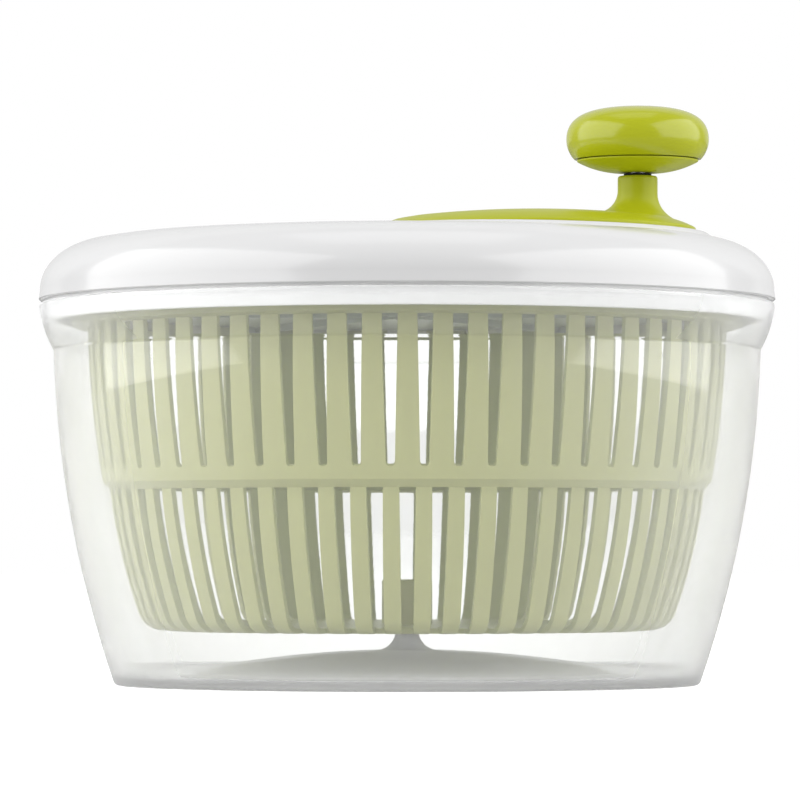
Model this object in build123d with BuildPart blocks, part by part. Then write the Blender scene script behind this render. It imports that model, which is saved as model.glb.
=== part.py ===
"""Hand-cranked salad spinner: clear bowl, slotted basket, geared lid and crank.

Millimetres, +Z up. The origin is the centre of the bowl's base, on the table.
The crank stands off the middle along +X, and a slot of the basket's lower row
faces -Y. The crank disc carries a large gear that drives a pinion on the
bowl's axis, and the pinion turns a drive plate that grips the basket's rim.
"""

import os
from math import acos, atan, cos, pi, radians, sin, sqrt, tan

from build123d import *

# ---------------------------------------------------------------- clearances
RUNNING_FIT = 0.05  # radial gap of a shaft in its bearing
SEAT_FIT = 0.03  # radial gap of a piece pressed in its seat
END_PLAY = 0.3  # gap between faces that turn past each other
LOOSE_FIT = 0.6  # gap between shells that lift or turn apart

# ---------------------------------------------------------------------- bowl
BOWL_HEIGHT = 134.5
BOWL_RADIUS = 124.9  # outside of the wall at the foot of the collar
BOWL_TAPER = 21.8  # how much narrower the base is
BOWL_WALL = 2.4
WALL_BOW = 4.6  # swell of the wall outside its own chord
COLLAR_FLARE = 5.1  # growth in radius from the wall to the rim
COLLAR_HEIGHT = 16.4
COLLAR_BOW = 0.95  # swell of the collar outside its own chord
RIM_ROUND = 1.0
BASE_ROUND = 2.0
FOOT_RING_WIDTH = 17.5
FLOOR_THICKNESS = 2.6
FLOOR_DOME = 9.4  # rise of the floor's dome
INNER_CORNER = 5.0
HORN_RADIUS = 4.1
HORN_FLARE = 6.8  # concave flare where the horn grows out of the floor
HORN_HEIGHT = 7.0  # above the top of the floor's dome
PIVOT_RADIUS = 3.6
PIVOT_LENGTH = 14.0  # pin above the horn's shoulder
PIVOT_TIP = 1.2  # bevel on the pin's end

# -------------------------------------------------------------------- basket
BASKET_WALL = 1.8
FLANGE_WIDTH = 5.5
FLANGE_EDGE = 2.5  # upright outer edge of the flange
FLANGE_SLOPE_HEIGHT = 0.5
BASKET_DROP = 5.0  # from the bowl's rim down to the basket's rim
FLANGE_GAP = 5.5  # between the flange and the lid's skirt
UPPER_TAPER = 5.4
UPPER_BOW = 1.0
STEP_OUT = 2.7  # ledge between the lower and upper wall
LOWER_ROW_HEIGHT = 49.1
LOWER_TAPER = 12.3
LOWER_BOW = 1.7
BASKET_CORNER = 8.0
SLOTS_PER_ROW = 60
SLOT_BAND = 6.8  # plain band between the two rows of slots
UPPER_SLOT_WIDE = 5.35
UPPER_SLOT_NARROW = 3.0
LOWER_SLOT_WIDE = 5.5
LOWER_SLOT_NARROW = 4.0
LOWER_SLOT_REACH = 10.7  # how far the lower slots run in under the floor
FLOOR_SLOT_WIDTH = 3.0
FLOOR_SLOT_LENGTH = 16.0
FLOOR_SLOT_GAP = 4.5  # between one ring of floor slots and the next
FLOOR_SLOT_COUNTS = (36, 30, 18)  # from the outer ring inwards
HUB_WALL = 3.6
HUB_ROOF = 1.6
SLEEVE_WALL = 1.6
SNAP_BEAD = 0.35  # ridge that keeps the sleeve in the hub
SNAP_BEAD_HEIGHT = 1.6
CROWN_TEETH = 24  # castellations on the rim that the drive plate grips
CROWN_WIDTH = 3.2
CROWN_HEIGHT = 3.1

# ----------------------------------------------------------------------- lid
LID_WALL = 2.4
LID_RISE = 25.8  # from the lid's lower edge to its crown
LID_OVERHANG = 0.1
SEAM_GAP = 1.0  # shadow gap between the bowl's rim and the lid's edge
SIDE_HEIGHT = 3.6
SIDE_LEAN = 0.4
SHOULDER_WIDTH = 21.2  # how far in from the side the shoulder's curve runs
CROWN_DROP = 4.45  # fall of the crown from the middle to the shoulder
SHOULDER_FULLNESS = 0.54  # share of the corner that the curve's handles take
SKIRT_WALL = 2.4
SKIRT_DEPTH = 6.1
EDGE_THICKNESS = 2.0
LEDGE_THICKNESS = 2.4

# --------------------------------------------------------------------- crank
CRANK_OFFSET = 45.0
DISC_RADIUS = 57.3
DISC_DOME = 6.4
DISC_CAP_RADIUS = 46.0  # where the flatter cap rolls over towards the rim
DISC_CAP_DROP = 2.75
DISC_WALL = 2.2
DISC_SINK = 0.1  # of the disc's rim below the lid's crown
DISC_LIFT = 1.0  # of the disc's skirt above the well's floor
DISC_RIBS = 8
RIB_WALL = 1.6
RIB_LIFT = 3.4  # of the ribs above the well's floor
MOUND_DROP = 0.8  # of the mound's top below the lid's crown, at the crank's axis
MOUND_TILT = 1.0  # the mound leans outwards with the fall of the crown
MOUND_LAND = 3.2  # flat ring between the disc and the mound's slope
MOUND_SLOPE = 35.0
MOUND_ROUND = 1.5
WELL_DEPTH = 5.5
WELL_WALL = 2.0
HUB_RADIUS = 8.0
HUB_COLLAR_WIDTH = 3.5
BUSH_WALL = 1.8
BUSH_FLANGE_WIDTH = 2.6
BUSH_FLANGE = 1.2
BUSH_BOSS_DEPTH = 2.0
BOSS_WALL = 2.2
STUB_RADIUS = 6.0
STUB_HALF_FLATS = 4.6
STEM_OFFSET = 36.7  # from the crank's own axis
STEM_RADIUS = 7.07
STEM_HEIGHT = 12.4  # above the crown of the disc
STEM_FLARE = 8.5
STEM_ROUND = 1.0
STEM_CORE_RADIUS = 4.6
STEM_CORE_ROOF = 1.5

# ---------------------------------------------------------------------- knob
SPINDLE_RADIUS = 3.0
SPINDLE_SEAT = 10.0
SPINDLE_STICKOUT = 1.6
NECK_WASHER_WIDTH = 1.85
NECK_WASHER = 1.1
KNOB_RADIUS = 25.25
KNOB_HEIGHT = 23.5  # from the washer to the crown
KNOB_WALL = 2.2
KNOB_BASE_INSET = 3.8  # of the lower shell's edge inside the knob's girth
KNOB_BASE_RISE = 4.0
KNOB_SEAM = 0.8
KNOB_CAP_INSET = 2.8  # of the upper shell's lower edge inside the girth
KNOB_GIRTH_HEIGHT = 11.8
KNOB_CROWN_REACH = 16.0  # handle of the crown's curve over the top
KNOB_CROWN_RISE = 9.2  # handle of the crown's curve above the girth
KNOB_SLEEVE_WALL = 2.8
KNOB_SLEEVE_HEIGHT = 11.0
SNAP_WALL = 1.6
SNAP_HEIGHT = 3.6
SNAP_INSET = 2.5
CLIP_WIDTH = 2.2
CLIP_THICKNESS = 1.2
CLIP_GROOVE = 0.6

# --------------------------------------------------------------- drive train
GEAR_MODULE = 1.5
PRESSURE_ANGLE = 20.0
GEAR_TEETH = 45
BACKLASH = 0.16  # thinning of each tooth at the pitch circle
GEAR_FACE = 6.0
GEAR_HUB_WALL = 4.5
GEAR_RIM = 3.4
GEAR_WEB = 2.6
GEAR_HOLES = 5
GEAR_HOLE_RADIUS = 5.0
JOURNAL_RADIUS = 4.5
DRIVE_HALF_HEX = 3.4
COVER_THICKNESS = 2.0
COVER_LIP = 3.4
COVER_BOSS_DEPTH = 1.5
COVER_RIBS = 12
COVER_RIB_DEPTH = 1.4
SCREW_COUNT = 6
SCREW_RING_INSET = 22.2  # of the cover's screws inside the lid's edge
SCREW_RADIUS = 1.5
SCREW_HEAD_RADIUS = 3.0
SCREW_HEAD = 1.8
SCREW_LENGTH = 9.0
SCREW_BOSS_WALL = 2.3
PLATE_THICKNESS = 2.0
PLATE_MARGIN = 1.2  # of the drive plate inside the basket's flange
PLATE_RIBS = 6
PLATE_RIB_DEPTH = 2.2
PLATE_HUB_WALL = 5.0
LUG_COUNT = 6
LUG_BACKLASH = 0.5
FIXING_RADIUS = 2.0
FIXING_HEAD_RADIUS = 4.0
FIXING_HEAD = 2.2
FIXING_LENGTH = 10.0
FIXING_WASHER_RADIUS = 8.0
FIXING_WASHER = 0.8
FIXING_POINT_GAP = 1.0  # of a hole beyond the point of its screw
CROSS_WIDTH = 0.9
CROSS_SHARE = 0.6  # depth of the cross recess as a share of the screw's head

# ------------------------------------------------------------- derived sizes
# Bowl
BASE_RADIUS = BOWL_RADIUS - BOWL_TAPER
COLLAR_Z = BOWL_HEIGHT - COLLAR_HEIGHT
RIM_RADIUS = BOWL_RADIUS + COLLAR_FLARE
DOME_RADIUS = BASE_RADIUS - FOOT_RING_WIDTH
DOME_TOP_Z = FLOOR_THICKNESS + FLOOR_DOME
DOME_SPHERE = (DOME_RADIUS**2 + FLOOR_DOME**2) / (2 * FLOOR_DOME)
DOME_CENTRE_Z = DOME_TOP_Z - DOME_SPHERE
FLARE_CENTRE_RADIUS = HORN_RADIUS + HORN_FLARE
FLARE_RISE = sqrt((DOME_SPHERE + HORN_FLARE) ** 2 - FLARE_CENTRE_RADIUS**2)
FLARE_TOP_Z = DOME_CENTRE_Z + FLARE_RISE
FLARE_SHARE = DOME_SPHERE / (DOME_SPHERE + HORN_FLARE)
FLARE_FOOT = (FLARE_CENTRE_RADIUS * FLARE_SHARE, DOME_CENTRE_Z + FLARE_RISE * FLARE_SHARE)
FLARE_TANGENT = (FLARE_RISE, -FLARE_CENTRE_RADIUS)
HORN_TOP_Z = DOME_TOP_Z + HORN_HEIGHT
PIVOT_TOP_Z = HORN_TOP_Z + PIVOT_LENGTH

# Lid's seat on the bowl's rim
LID_RADIUS = RIM_RADIUS + LID_OVERHANG
LID_EDGE_Z = BOWL_HEIGHT + SEAM_GAP
LID_TOP = LID_EDGE_Z + LID_RISE
SIDE_TOP_Z = LID_EDGE_Z + SIDE_HEIGHT
SIDE_TOP_RADIUS = LID_RADIUS - SIDE_LEAN
SHOULDER_RADIUS = LID_RADIUS - SHOULDER_WIDTH
SHOULDER_Z = LID_TOP - CROWN_DROP
SHOULDER_GRADE = tan(2 * atan(CROWN_DROP / SHOULDER_RADIUS))
SKIRT_BOTTOM_Z = BOWL_HEIGHT - SKIRT_DEPTH
SKIRT_SHARE = 1 - SKIRT_DEPTH / COLLAR_HEIGHT
COLLAR_SWELL = 4 * COLLAR_BOW * SKIRT_SHARE * (1 - SKIRT_SHARE)
SKIRT_TOP_RADIUS = RIM_RADIUS - BOWL_WALL - END_PLAY
SKIRT_RADIUS = SKIRT_TOP_RADIUS - COLLAR_FLARE * (1 - SKIRT_SHARE) + COLLAR_SWELL
SKIRT_INNER = SKIRT_RADIUS - SKIRT_WALL
LEDGE_TOP_Z = BOWL_HEIGHT + LEDGE_THICKNESS
EDGE_INNER = LID_RADIUS - EDGE_THICKNESS

# Basket, hung from its pivot sleeve on the bowl's pin
BASKET_BOTTOM = HORN_TOP_Z + END_PLAY
BASKET_TOP = BOWL_HEIGHT - BASKET_DROP
FLANGE_RADIUS = SKIRT_INNER - FLANGE_GAP
FLANGE_Z = BASKET_TOP - FLANGE_EDGE
UPPER_TOP_Z = FLANGE_Z - FLANGE_SLOPE_HEIGHT
UPPER_TOP_RADIUS = FLANGE_RADIUS - FLANGE_WIDTH
UPPER_FOOT_RADIUS = UPPER_TOP_RADIUS - UPPER_TAPER
LOWER_TOP_Z = BASKET_BOTTOM + LOWER_ROW_HEIGHT
LOWER_TOP_RADIUS = UPPER_FOOT_RADIUS - STEP_OUT
UPPER_FOOT_Z = LOWER_TOP_Z + STEP_OUT
BASKET_FLOOR_RADIUS = LOWER_TOP_RADIUS - LOWER_TAPER
UPPER_SLOT_TOP = FLANGE_Z - LOOSE_FIT
UPPER_SLOT_BOTTOM = LOWER_TOP_Z + SLOT_BAND
SLOT_PITCH = 360 / SLOTS_PER_ROW
SLEEVE_BORE = PIVOT_RADIUS + RUNNING_FIT
SLEEVE_RADIUS = SLEEVE_BORE + SLEEVE_WALL
SLEEVE_ROOF_Z = PIVOT_TOP_Z + END_PLAY
SLEEVE_TOP_Z = SLEEVE_ROOF_Z + SLEEVE_WALL
BEAD_Z = (HORN_TOP_Z + SLEEVE_TOP_Z) / 2
HUB_BORE = SLEEVE_RADIUS + RUNNING_FIT
HUB_CEILING_Z = SLEEVE_TOP_Z + END_PLAY
HUB_TOP_Z = HUB_CEILING_Z + HUB_ROOF
CROWN_OUTER = (UPPER_TOP_RADIUS - BASKET_WALL + FLANGE_RADIUS + CROWN_WIDTH) / 2
CROWN_INNER = CROWN_OUTER - CROWN_WIDTH
CROWN_TOP = BASKET_TOP + CROWN_HEIGHT
CROWN_GAP = pi * (CROWN_OUTER + CROWN_INNER) / (2 * CROWN_TEETH)

# Mound and well that take the crank's disc
MOUND_TOP = LID_TOP - MOUND_DROP
WELL_RADIUS = DISC_RADIUS + LOOSE_FIT
MOUND_RADIUS = WELL_RADIUS + MOUND_LAND
MOUND_LOW_Z = MOUND_TOP - MOUND_RADIUS * sin(radians(MOUND_TILT))
MOUND_HEIGHT = MOUND_TOP - SHOULDER_Z + LID_WALL
MOUND_FOOT_RADIUS = MOUND_RADIUS + MOUND_HEIGHT / tan(radians(MOUND_SLOPE))
MOUND_CORNER = MOUND_ROUND * tan(radians(MOUND_SLOPE / 2))
MOUND_LEAN = (cos(radians(MOUND_TILT)), sin(radians(MOUND_TILT)))
MOUND_SECTION = Plane(
    (CRANK_OFFSET, 0, MOUND_TOP), x_dir=(MOUND_LEAN[0], 0, -MOUND_LEAN[1]), z_dir=(0, -1, 0)
)
MOUND_AXIS = Axis((CRANK_OFFSET, 0, MOUND_TOP), (MOUND_LEAN[1], 0, MOUND_LEAN[0]))
WELL_FLOOR_Z = MOUND_TOP - WELL_DEPTH
WELL_UNDERSIDE_Z = WELL_FLOOR_Z - LID_WALL
BOSS_BOTTOM_Z = WELL_UNDERSIDE_Z - BUSH_BOSS_DEPTH

# Crank, hung in the lid's bush
BUSH_BORE = HUB_RADIUS + RUNNING_FIT
BUSH_RADIUS = BUSH_BORE + BUSH_WALL
BUSH_SEAT = BUSH_RADIUS + SEAT_FIT
HUB_COLLAR_Z = WELL_FLOOR_Z + BUSH_FLANGE + END_PLAY
DISC_RIM_Z = LID_TOP - DISC_SINK
DISC_TOP_Z = DISC_RIM_Z + DISC_DOME
DISC_CAP_Z = DISC_TOP_Z - DISC_CAP_DROP
DISC_SPHERE = (DISC_CAP_RADIUS**2 + DISC_CAP_DROP**2) / (2 * DISC_CAP_DROP)
DISC_INNER_RADIUS = DISC_RADIUS - DISC_WALL
DISC_SKIRT_Z = WELL_FLOOR_Z + DISC_LIFT
STEM_X = CRANK_OFFSET + STEM_OFFSET
STEM_TOP_Z = DISC_TOP_Z + STEM_HEIGHT
STEM_FOOT_Z = DISC_TOP_Z - DISC_SPHERE + sqrt(DISC_SPHERE**2 - STEM_OFFSET**2)
CRANK_PLANE = Plane((CRANK_OFFSET, 0, 0))
CRANK_SECTION = Plane((CRANK_OFFSET, 0, 0), x_dir=(-1, 0, 0), z_dir=(0, 1, 0))
CRANK_AXIS = Axis((CRANK_OFFSET, 0, 0), (0, 0, 1))
STEM_SECTION = Plane((STEM_X, 0, 0), x_dir=(1, 0, 0), z_dir=(0, -1, 0))
STEM_AXIS = Axis((STEM_X, 0, 0), (0, 0, 1))

# Gear train: the pinion's teeth follow from the distance between the axes
GEAR_TOP_Z = BOSS_BOTTOM_Z - END_PLAY
GEAR_BOTTOM_Z = GEAR_TOP_Z - GEAR_FACE
GEAR_PITCH_RADIUS = GEAR_MODULE * GEAR_TEETH / 2
PINION_TEETH = round(2 * (CRANK_OFFSET - GEAR_PITCH_RADIUS) / GEAR_MODULE)
FIXING_STACK = FIXING_WASHER + FIXING_HEAD
COVER_TOP_Z = GEAR_BOTTOM_Z - FIXING_STACK - LOOSE_FIT
COVER_BOTTOM_Z = COVER_TOP_Z - COVER_THICKNESS
COVER_RADIUS = SKIRT_INNER - LOOSE_FIT
JOURNAL_BORE = JOURNAL_RADIUS + RUNNING_FIT
JOURNAL_BUSH_RADIUS = JOURNAL_BORE + BUSH_WALL
JOURNAL_SEAT = JOURNAL_BUSH_RADIUS + SEAT_FIT
JOURNAL_POCKET_Z = WELL_FLOOR_Z - LID_WALL / 2
PINION_BOTTOM_Z = COVER_TOP_Z + BUSH_FLANGE + END_PLAY
COVER_BOSS_Z = COVER_BOTTOM_Z - COVER_BOSS_DEPTH
PLATE_HUB_TOP_Z = COVER_BOSS_Z - END_PLAY
SCREW_RING = LID_RADIUS - SCREW_RING_INSET
SCREW_BOSS_RADIUS = SCREW_RADIUS + SCREW_BOSS_WALL

# Drive plate, on the spindle's hexagonal end
PLATE_BOTTOM_Z = CROWN_TOP + END_PLAY
PLATE_RADIUS = FLANGE_RADIUS - PLATE_MARGIN
PLATE_HUB_RADIUS = DRIVE_HALF_HEX + PLATE_HUB_WALL
LUG_BOTTOM_Z = BASKET_TOP + END_PLAY
LUG_WIDTH = CROWN_GAP - 2 * LUG_BACKLASH

# Knob, stacked on the stem
KNOB_BOTTOM_Z = STEM_TOP_Z + NECK_WASHER
KNOB_TOP_Z = KNOB_BOTTOM_Z + KNOB_HEIGHT
KNOB_BASE_RADIUS = KNOB_RADIUS - KNOB_BASE_INSET
KNOB_BASE_TOP_Z = KNOB_BOTTOM_Z + KNOB_BASE_RISE
CAP_BOTTOM_Z = KNOB_BASE_TOP_Z + KNOB_SEAM
KNOB_BORE = SPINDLE_RADIUS + RUNNING_FIT
KNOB_SLEEVE_RADIUS = KNOB_BORE + KNOB_SLEEVE_WALL
KNOB_SLEEVE_Z = KNOB_BOTTOM_Z + KNOB_SLEEVE_HEIGHT
SNAP_RADIUS = KNOB_BASE_RADIUS - SNAP_INSET
SNAP_TOP_Z = CAP_BOTTOM_Z + SNAP_HEIGHT
CLIP_Z = KNOB_SLEEVE_Z + END_PLAY
SPINDLE_TOP_Z = CLIP_Z + CLIP_THICKNESS + SPINDLE_STICKOUT
SPINDLE_BOTTOM_Z = STEM_TOP_Z - SPINDLE_SEAT

os.makedirs("parts", exist_ok=True)


# ------------------------------------------------------------------- helpers
def write(piece, name):
    """Label a finished piece and write it as one STEP file."""
    piece.part.label = name
    export_step(piece.part, f"parts/{name}.step")


def rings(piece, radius, height):
    """Circular edges of a turned piece at one radius and one height."""
    near = 0.01
    return piece.edges().filter_by(
        lambda edge: edge.geom_type == GeomType.CIRCLE
        and abs(edge.radius - radius) < near
        and abs(edge.arc_center.Z - height) < near
    )


def involute(angle):
    """Involute function of an angle in radians."""
    return tan(angle) - angle


def flank_point(radius, teeth, side):
    """Point on one flank of the tooth that is centred on the X axis."""
    pitch_radius = GEAR_MODULE * teeth / 2
    pressure = radians(PRESSURE_ANGLE)
    local_pressure = acos(min(1, pitch_radius * cos(pressure) / radius))
    half_tooth = pi / (2 * teeth) - BACKLASH / (2 * pitch_radius)
    turn = half_tooth + involute(pressure) - involute(local_pressure)
    return (radius * cos(turn), side * radius * sin(turn))


def spur_gear(teeth):
    """Draw an involute spur gear in the open sketch."""
    pitch_radius = GEAR_MODULE * teeth / 2
    tip = pitch_radius + GEAR_MODULE
    root = pitch_radius - 1.25 * GEAR_MODULE
    foot = max(root, pitch_radius * cos(radians(PRESSURE_ANGLE)))
    lower = [flank_point(radius, teeth, -1) for radius in (foot, (foot + tip) / 2, tip)]
    upper = [flank_point(radius, teeth, 1) for radius in (foot, (foot + tip) / 2, tip)]
    buried = 0.9 * root / foot
    with BuildSketch(Plane.XY, mode=Mode.PRIVATE) as tooth:
        with BuildLine():
            ThreePointArc(*lower)
            Line(lower[2], upper[2])
            ThreePointArc(*upper)
            Polyline(
                upper[0],
                (upper[0][0] * buried, upper[0][1] * buried),
                (lower[0][0] * buried, lower[0][1] * buried),
                lower[0],
            )
        make_face()
    Circle(root)
    with PolarLocations(0, teeth):
        add(tooth.sketch)


def double_d(radius, half_flats):
    """Draw a round with two flats in the open sketch."""
    Circle(radius)
    Rectangle(2 * radius, 2 * half_flats, mode=Mode.INTERSECT)


def disc(height, radius, thickness, mode=Mode.ADD, x=0.0):
    """Add or cut a round disc that stands on the given height."""
    with Locations((x, 0, height)):
        Cylinder(radius, thickness, align=(Align.CENTER, Align.CENTER, Align.MIN), mode=mode)


def cross_recess(height, head_radius, head_height, x=0.0):
    """Cut a cross recess upwards into the underside of a screw's head."""
    with Locations((x, 0, height)):
        for size in ((1.2 * head_radius, CROSS_WIDTH), (CROSS_WIDTH, 1.2 * head_radius)):
            Box(
                *size,
                CROSS_SHARE * head_height,
                align=(Align.CENTER, Align.CENTER, Align.MIN),
                mode=Mode.SUBTRACT,
            )


def lid_outline(inset):
    """Draw the lid's section from its edge to its crown, moved in by a wall."""
    side_top = (SIDE_TOP_RADIUS - inset, SIDE_TOP_Z)
    shoulder = (SHOULDER_RADIUS, SHOULDER_Z - inset)
    reach = SHOULDER_FULLNESS * (side_top[0] - shoulder[0])
    rise = SHOULDER_FULLNESS * (shoulder[1] - side_top[1])
    Line((LID_RADIUS - inset, LID_EDGE_Z), side_top)
    Bezier(
        side_top,
        (side_top[0], side_top[1] + rise),
        (shoulder[0] + reach, shoulder[1] - reach * SHOULDER_GRADE),
        shoulder,
    )
    TangentArc((0, LID_TOP - inset), shoulder, tangent=(1, 0))
    Polyline((0, LID_TOP - inset), (0, LID_EDGE_Z), (LID_RADIUS - inset, LID_EDGE_Z))


# ---------------------------------------------------------------------- bowl
with BuildPart() as bowl:
    with BuildSketch(Plane.XZ):
        with BuildLine():
            Line((DOME_RADIUS, 0), (BASE_RADIUS, 0))
            SagittaArc((BASE_RADIUS, 0), (BOWL_RADIUS, COLLAR_Z), -WALL_BOW)
            SagittaArc((BOWL_RADIUS, COLLAR_Z), (RIM_RADIUS, BOWL_HEIGHT), -COLLAR_BOW)
            Line((RIM_RADIUS, BOWL_HEIGHT), (RIM_RADIUS - BOWL_WALL, BOWL_HEIGHT))
            SagittaArc(
                (RIM_RADIUS - BOWL_WALL, BOWL_HEIGHT), (BOWL_RADIUS - BOWL_WALL, COLLAR_Z), COLLAR_BOW
            )
            SagittaArc(
                (BOWL_RADIUS - BOWL_WALL, COLLAR_Z),
                (BASE_RADIUS - BOWL_WALL, FLOOR_THICKNESS),
                WALL_BOW,
            )
            Line((BASE_RADIUS - BOWL_WALL, FLOOR_THICKNESS), (DOME_RADIUS, FLOOR_THICKNESS))
            TangentArc(FLARE_FOOT, (DOME_RADIUS, FLOOR_THICKNESS), tangent=FLARE_TANGENT)
            TangentArc((HORN_RADIUS, FLARE_TOP_Z), FLARE_FOOT, tangent=(0, -1))
            Polyline(
                (HORN_RADIUS, FLARE_TOP_Z),
                (HORN_RADIUS, HORN_TOP_Z),
                (PIVOT_RADIUS, HORN_TOP_Z),
                (PIVOT_RADIUS, PIVOT_TOP_Z - PIVOT_TIP),
                (PIVOT_RADIUS - PIVOT_TIP, PIVOT_TOP_Z),
                (0, PIVOT_TOP_Z),
                (0, FLOOR_DOME),
            )
            TangentArc((0, FLOOR_DOME), (DOME_RADIUS, 0), tangent=(1, 0))
        make_face()
    revolve(axis=Axis.Z)
    fillet(rings(bowl, BASE_RADIUS, 0), BASE_ROUND)
    fillet(rings(bowl, BASE_RADIUS - BOWL_WALL, FLOOR_THICKNESS), INNER_CORNER)
    fillet(rings(bowl, RIM_RADIUS, BOWL_HEIGHT), RIM_ROUND)
write(bowl, "bowl")

# -------------------------------------------------------------------- basket
with BuildPart() as upper_slot:
    with BuildSketch(Plane.XZ.offset(LOWER_TOP_RADIUS - 2 * BASKET_WALL)):
        with BuildLine():
            Polyline(
                (-UPPER_SLOT_NARROW / 2, UPPER_SLOT_BOTTOM + UPPER_SLOT_NARROW / 2),
                (-UPPER_SLOT_WIDE / 2, UPPER_SLOT_TOP),
                (UPPER_SLOT_WIDE / 2, UPPER_SLOT_TOP),
                (UPPER_SLOT_NARROW / 2, UPPER_SLOT_BOTTOM + UPPER_SLOT_NARROW / 2),
            )
            ThreePointArc(
                (-UPPER_SLOT_NARROW / 2, UPPER_SLOT_BOTTOM + UPPER_SLOT_NARROW / 2),
                (0, UPPER_SLOT_BOTTOM),
                (UPPER_SLOT_NARROW / 2, UPPER_SLOT_BOTTOM + UPPER_SLOT_NARROW / 2),
            )
        make_face()
    extrude(amount=FLANGE_RADIUS - LOWER_TOP_RADIUS + 3 * BASKET_WALL)

with BuildPart() as lower_slot:
    with BuildSketch(Plane.XZ.offset(BASKET_FLOOR_RADIUS - LOWER_SLOT_REACH)):
        with BuildLine():
            Polyline(
                (-LOWER_SLOT_NARROW / 2, BASKET_BOTTOM - BASKET_WALL),
                (-LOWER_SLOT_NARROW / 2, BASKET_BOTTOM + BASKET_WALL),
                (-LOWER_SLOT_WIDE / 2, LOWER_TOP_Z),
                (LOWER_SLOT_WIDE / 2, LOWER_TOP_Z),
                (LOWER_SLOT_NARROW / 2, BASKET_BOTTOM + BASKET_WALL),
                (LOWER_SLOT_NARROW / 2, BASKET_BOTTOM - BASKET_WALL),
                close=True,
            )
        make_face()
    extrude(amount=FLANGE_RADIUS - BASKET_FLOOR_RADIUS + LOWER_SLOT_REACH)

with BuildPart() as basket:
    with BuildSketch(Plane.XZ):
        with BuildLine():
            Line((0, BASKET_BOTTOM), (BASKET_FLOOR_RADIUS, BASKET_BOTTOM))
            SagittaArc((BASKET_FLOOR_RADIUS, BASKET_BOTTOM), (LOWER_TOP_RADIUS, LOWER_TOP_Z), -LOWER_BOW)
            Line((LOWER_TOP_RADIUS, LOWER_TOP_Z), (UPPER_FOOT_RADIUS, UPPER_FOOT_Z))
            SagittaArc((UPPER_FOOT_RADIUS, UPPER_FOOT_Z), (UPPER_TOP_RADIUS, UPPER_TOP_Z), -UPPER_BOW)
            Polyline(
                (UPPER_TOP_RADIUS, UPPER_TOP_Z),
                (FLANGE_RADIUS, FLANGE_Z),
                (FLANGE_RADIUS, BASKET_TOP),
                (UPPER_TOP_RADIUS - BASKET_WALL, BASKET_TOP),
                (UPPER_TOP_RADIUS - BASKET_WALL, UPPER_TOP_Z),
            )
            SagittaArc(
                (UPPER_TOP_RADIUS - BASKET_WALL, UPPER_TOP_Z),
                (UPPER_FOOT_RADIUS - BASKET_WALL, UPPER_FOOT_Z + BASKET_WALL / 2),
                UPPER_BOW,
            )
            Line(
                (UPPER_FOOT_RADIUS - BASKET_WALL, UPPER_FOOT_Z + BASKET_WALL / 2),
                (LOWER_TOP_RADIUS - BASKET_WALL, LOWER_TOP_Z + BASKET_WALL / 2),
            )
            SagittaArc(
                (LOWER_TOP_RADIUS - BASKET_WALL, LOWER_TOP_Z + BASKET_WALL / 2),
                (BASKET_FLOOR_RADIUS - BASKET_WALL, BASKET_BOTTOM + BASKET_WALL),
                LOWER_BOW,
            )
            Polyline(
                (BASKET_FLOOR_RADIUS - BASKET_WALL, BASKET_BOTTOM + BASKET_WALL),
                (0, BASKET_BOTTOM + BASKET_WALL),
                (0, BASKET_BOTTOM),
            )
        make_face()
    revolve(axis=Axis.Z)
    fillet(rings(basket, BASKET_FLOOR_RADIUS, BASKET_BOTTOM), BASKET_CORNER)
    inner_corner = rings(basket, BASKET_FLOOR_RADIUS - BASKET_WALL, BASKET_BOTTOM + BASKET_WALL)
    fillet(inner_corner, BASKET_CORNER - BASKET_WALL)

    # Hub with the pocket that the pivot sleeve turns in
    disc(BASKET_BOTTOM, HUB_BORE + HUB_WALL, HUB_TOP_Z - BASKET_BOTTOM)
    disc(BASKET_BOTTOM, HUB_BORE, HUB_CEILING_Z - BASKET_BOTTOM, Mode.SUBTRACT)
    bead_pocket = SNAP_BEAD_HEIGHT + 2 * END_PLAY
    disc(BEAD_Z - bead_pocket / 2, HUB_BORE + SNAP_BEAD, bead_pocket, Mode.SUBTRACT)

    # Castellations on the rim
    with BuildSketch(Plane.XY.offset(BASKET_TOP)):
        Circle(CROWN_OUTER)
        Circle(CROWN_INNER, mode=Mode.SUBTRACT)
        with PolarLocations((CROWN_INNER + CROWN_OUTER) / 2, CROWN_TEETH):
            Rectangle(2 * CROWN_WIDTH, CROWN_GAP, mode=Mode.SUBTRACT)
    extrude(amount=CROWN_HEIGHT)

    # Rings of slots in the floor
    for ring, count in enumerate(FLOOR_SLOT_COUNTS):
        ring_end = BASKET_FLOOR_RADIUS - LOWER_SLOT_REACH - FLOOR_SLOT_GAP
        ring_end -= ring * (FLOOR_SLOT_LENGTH + FLOOR_SLOT_GAP)
        with Locations((0, 0, BASKET_BOTTOM)):
            with PolarLocations(ring_end - FLOOR_SLOT_LENGTH / 2, count):
                Box(
                    FLOOR_SLOT_LENGTH,
                    FLOOR_SLOT_WIDTH,
                    BASKET_WALL,
                    align=(Align.CENTER, Align.CENTER, Align.MIN),
                    mode=Mode.SUBTRACT,
                )

    # Slots in the wall, half a pitch apart from row to row
    with PolarLocations(0, SLOTS_PER_ROW, start_angle=SLOT_PITCH / 2):
        add(upper_slot.part, mode=Mode.SUBTRACT)
    with PolarLocations(0, SLOTS_PER_ROW):
        add(lower_slot.part, mode=Mode.SUBTRACT)
write(basket, "basket")

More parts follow.
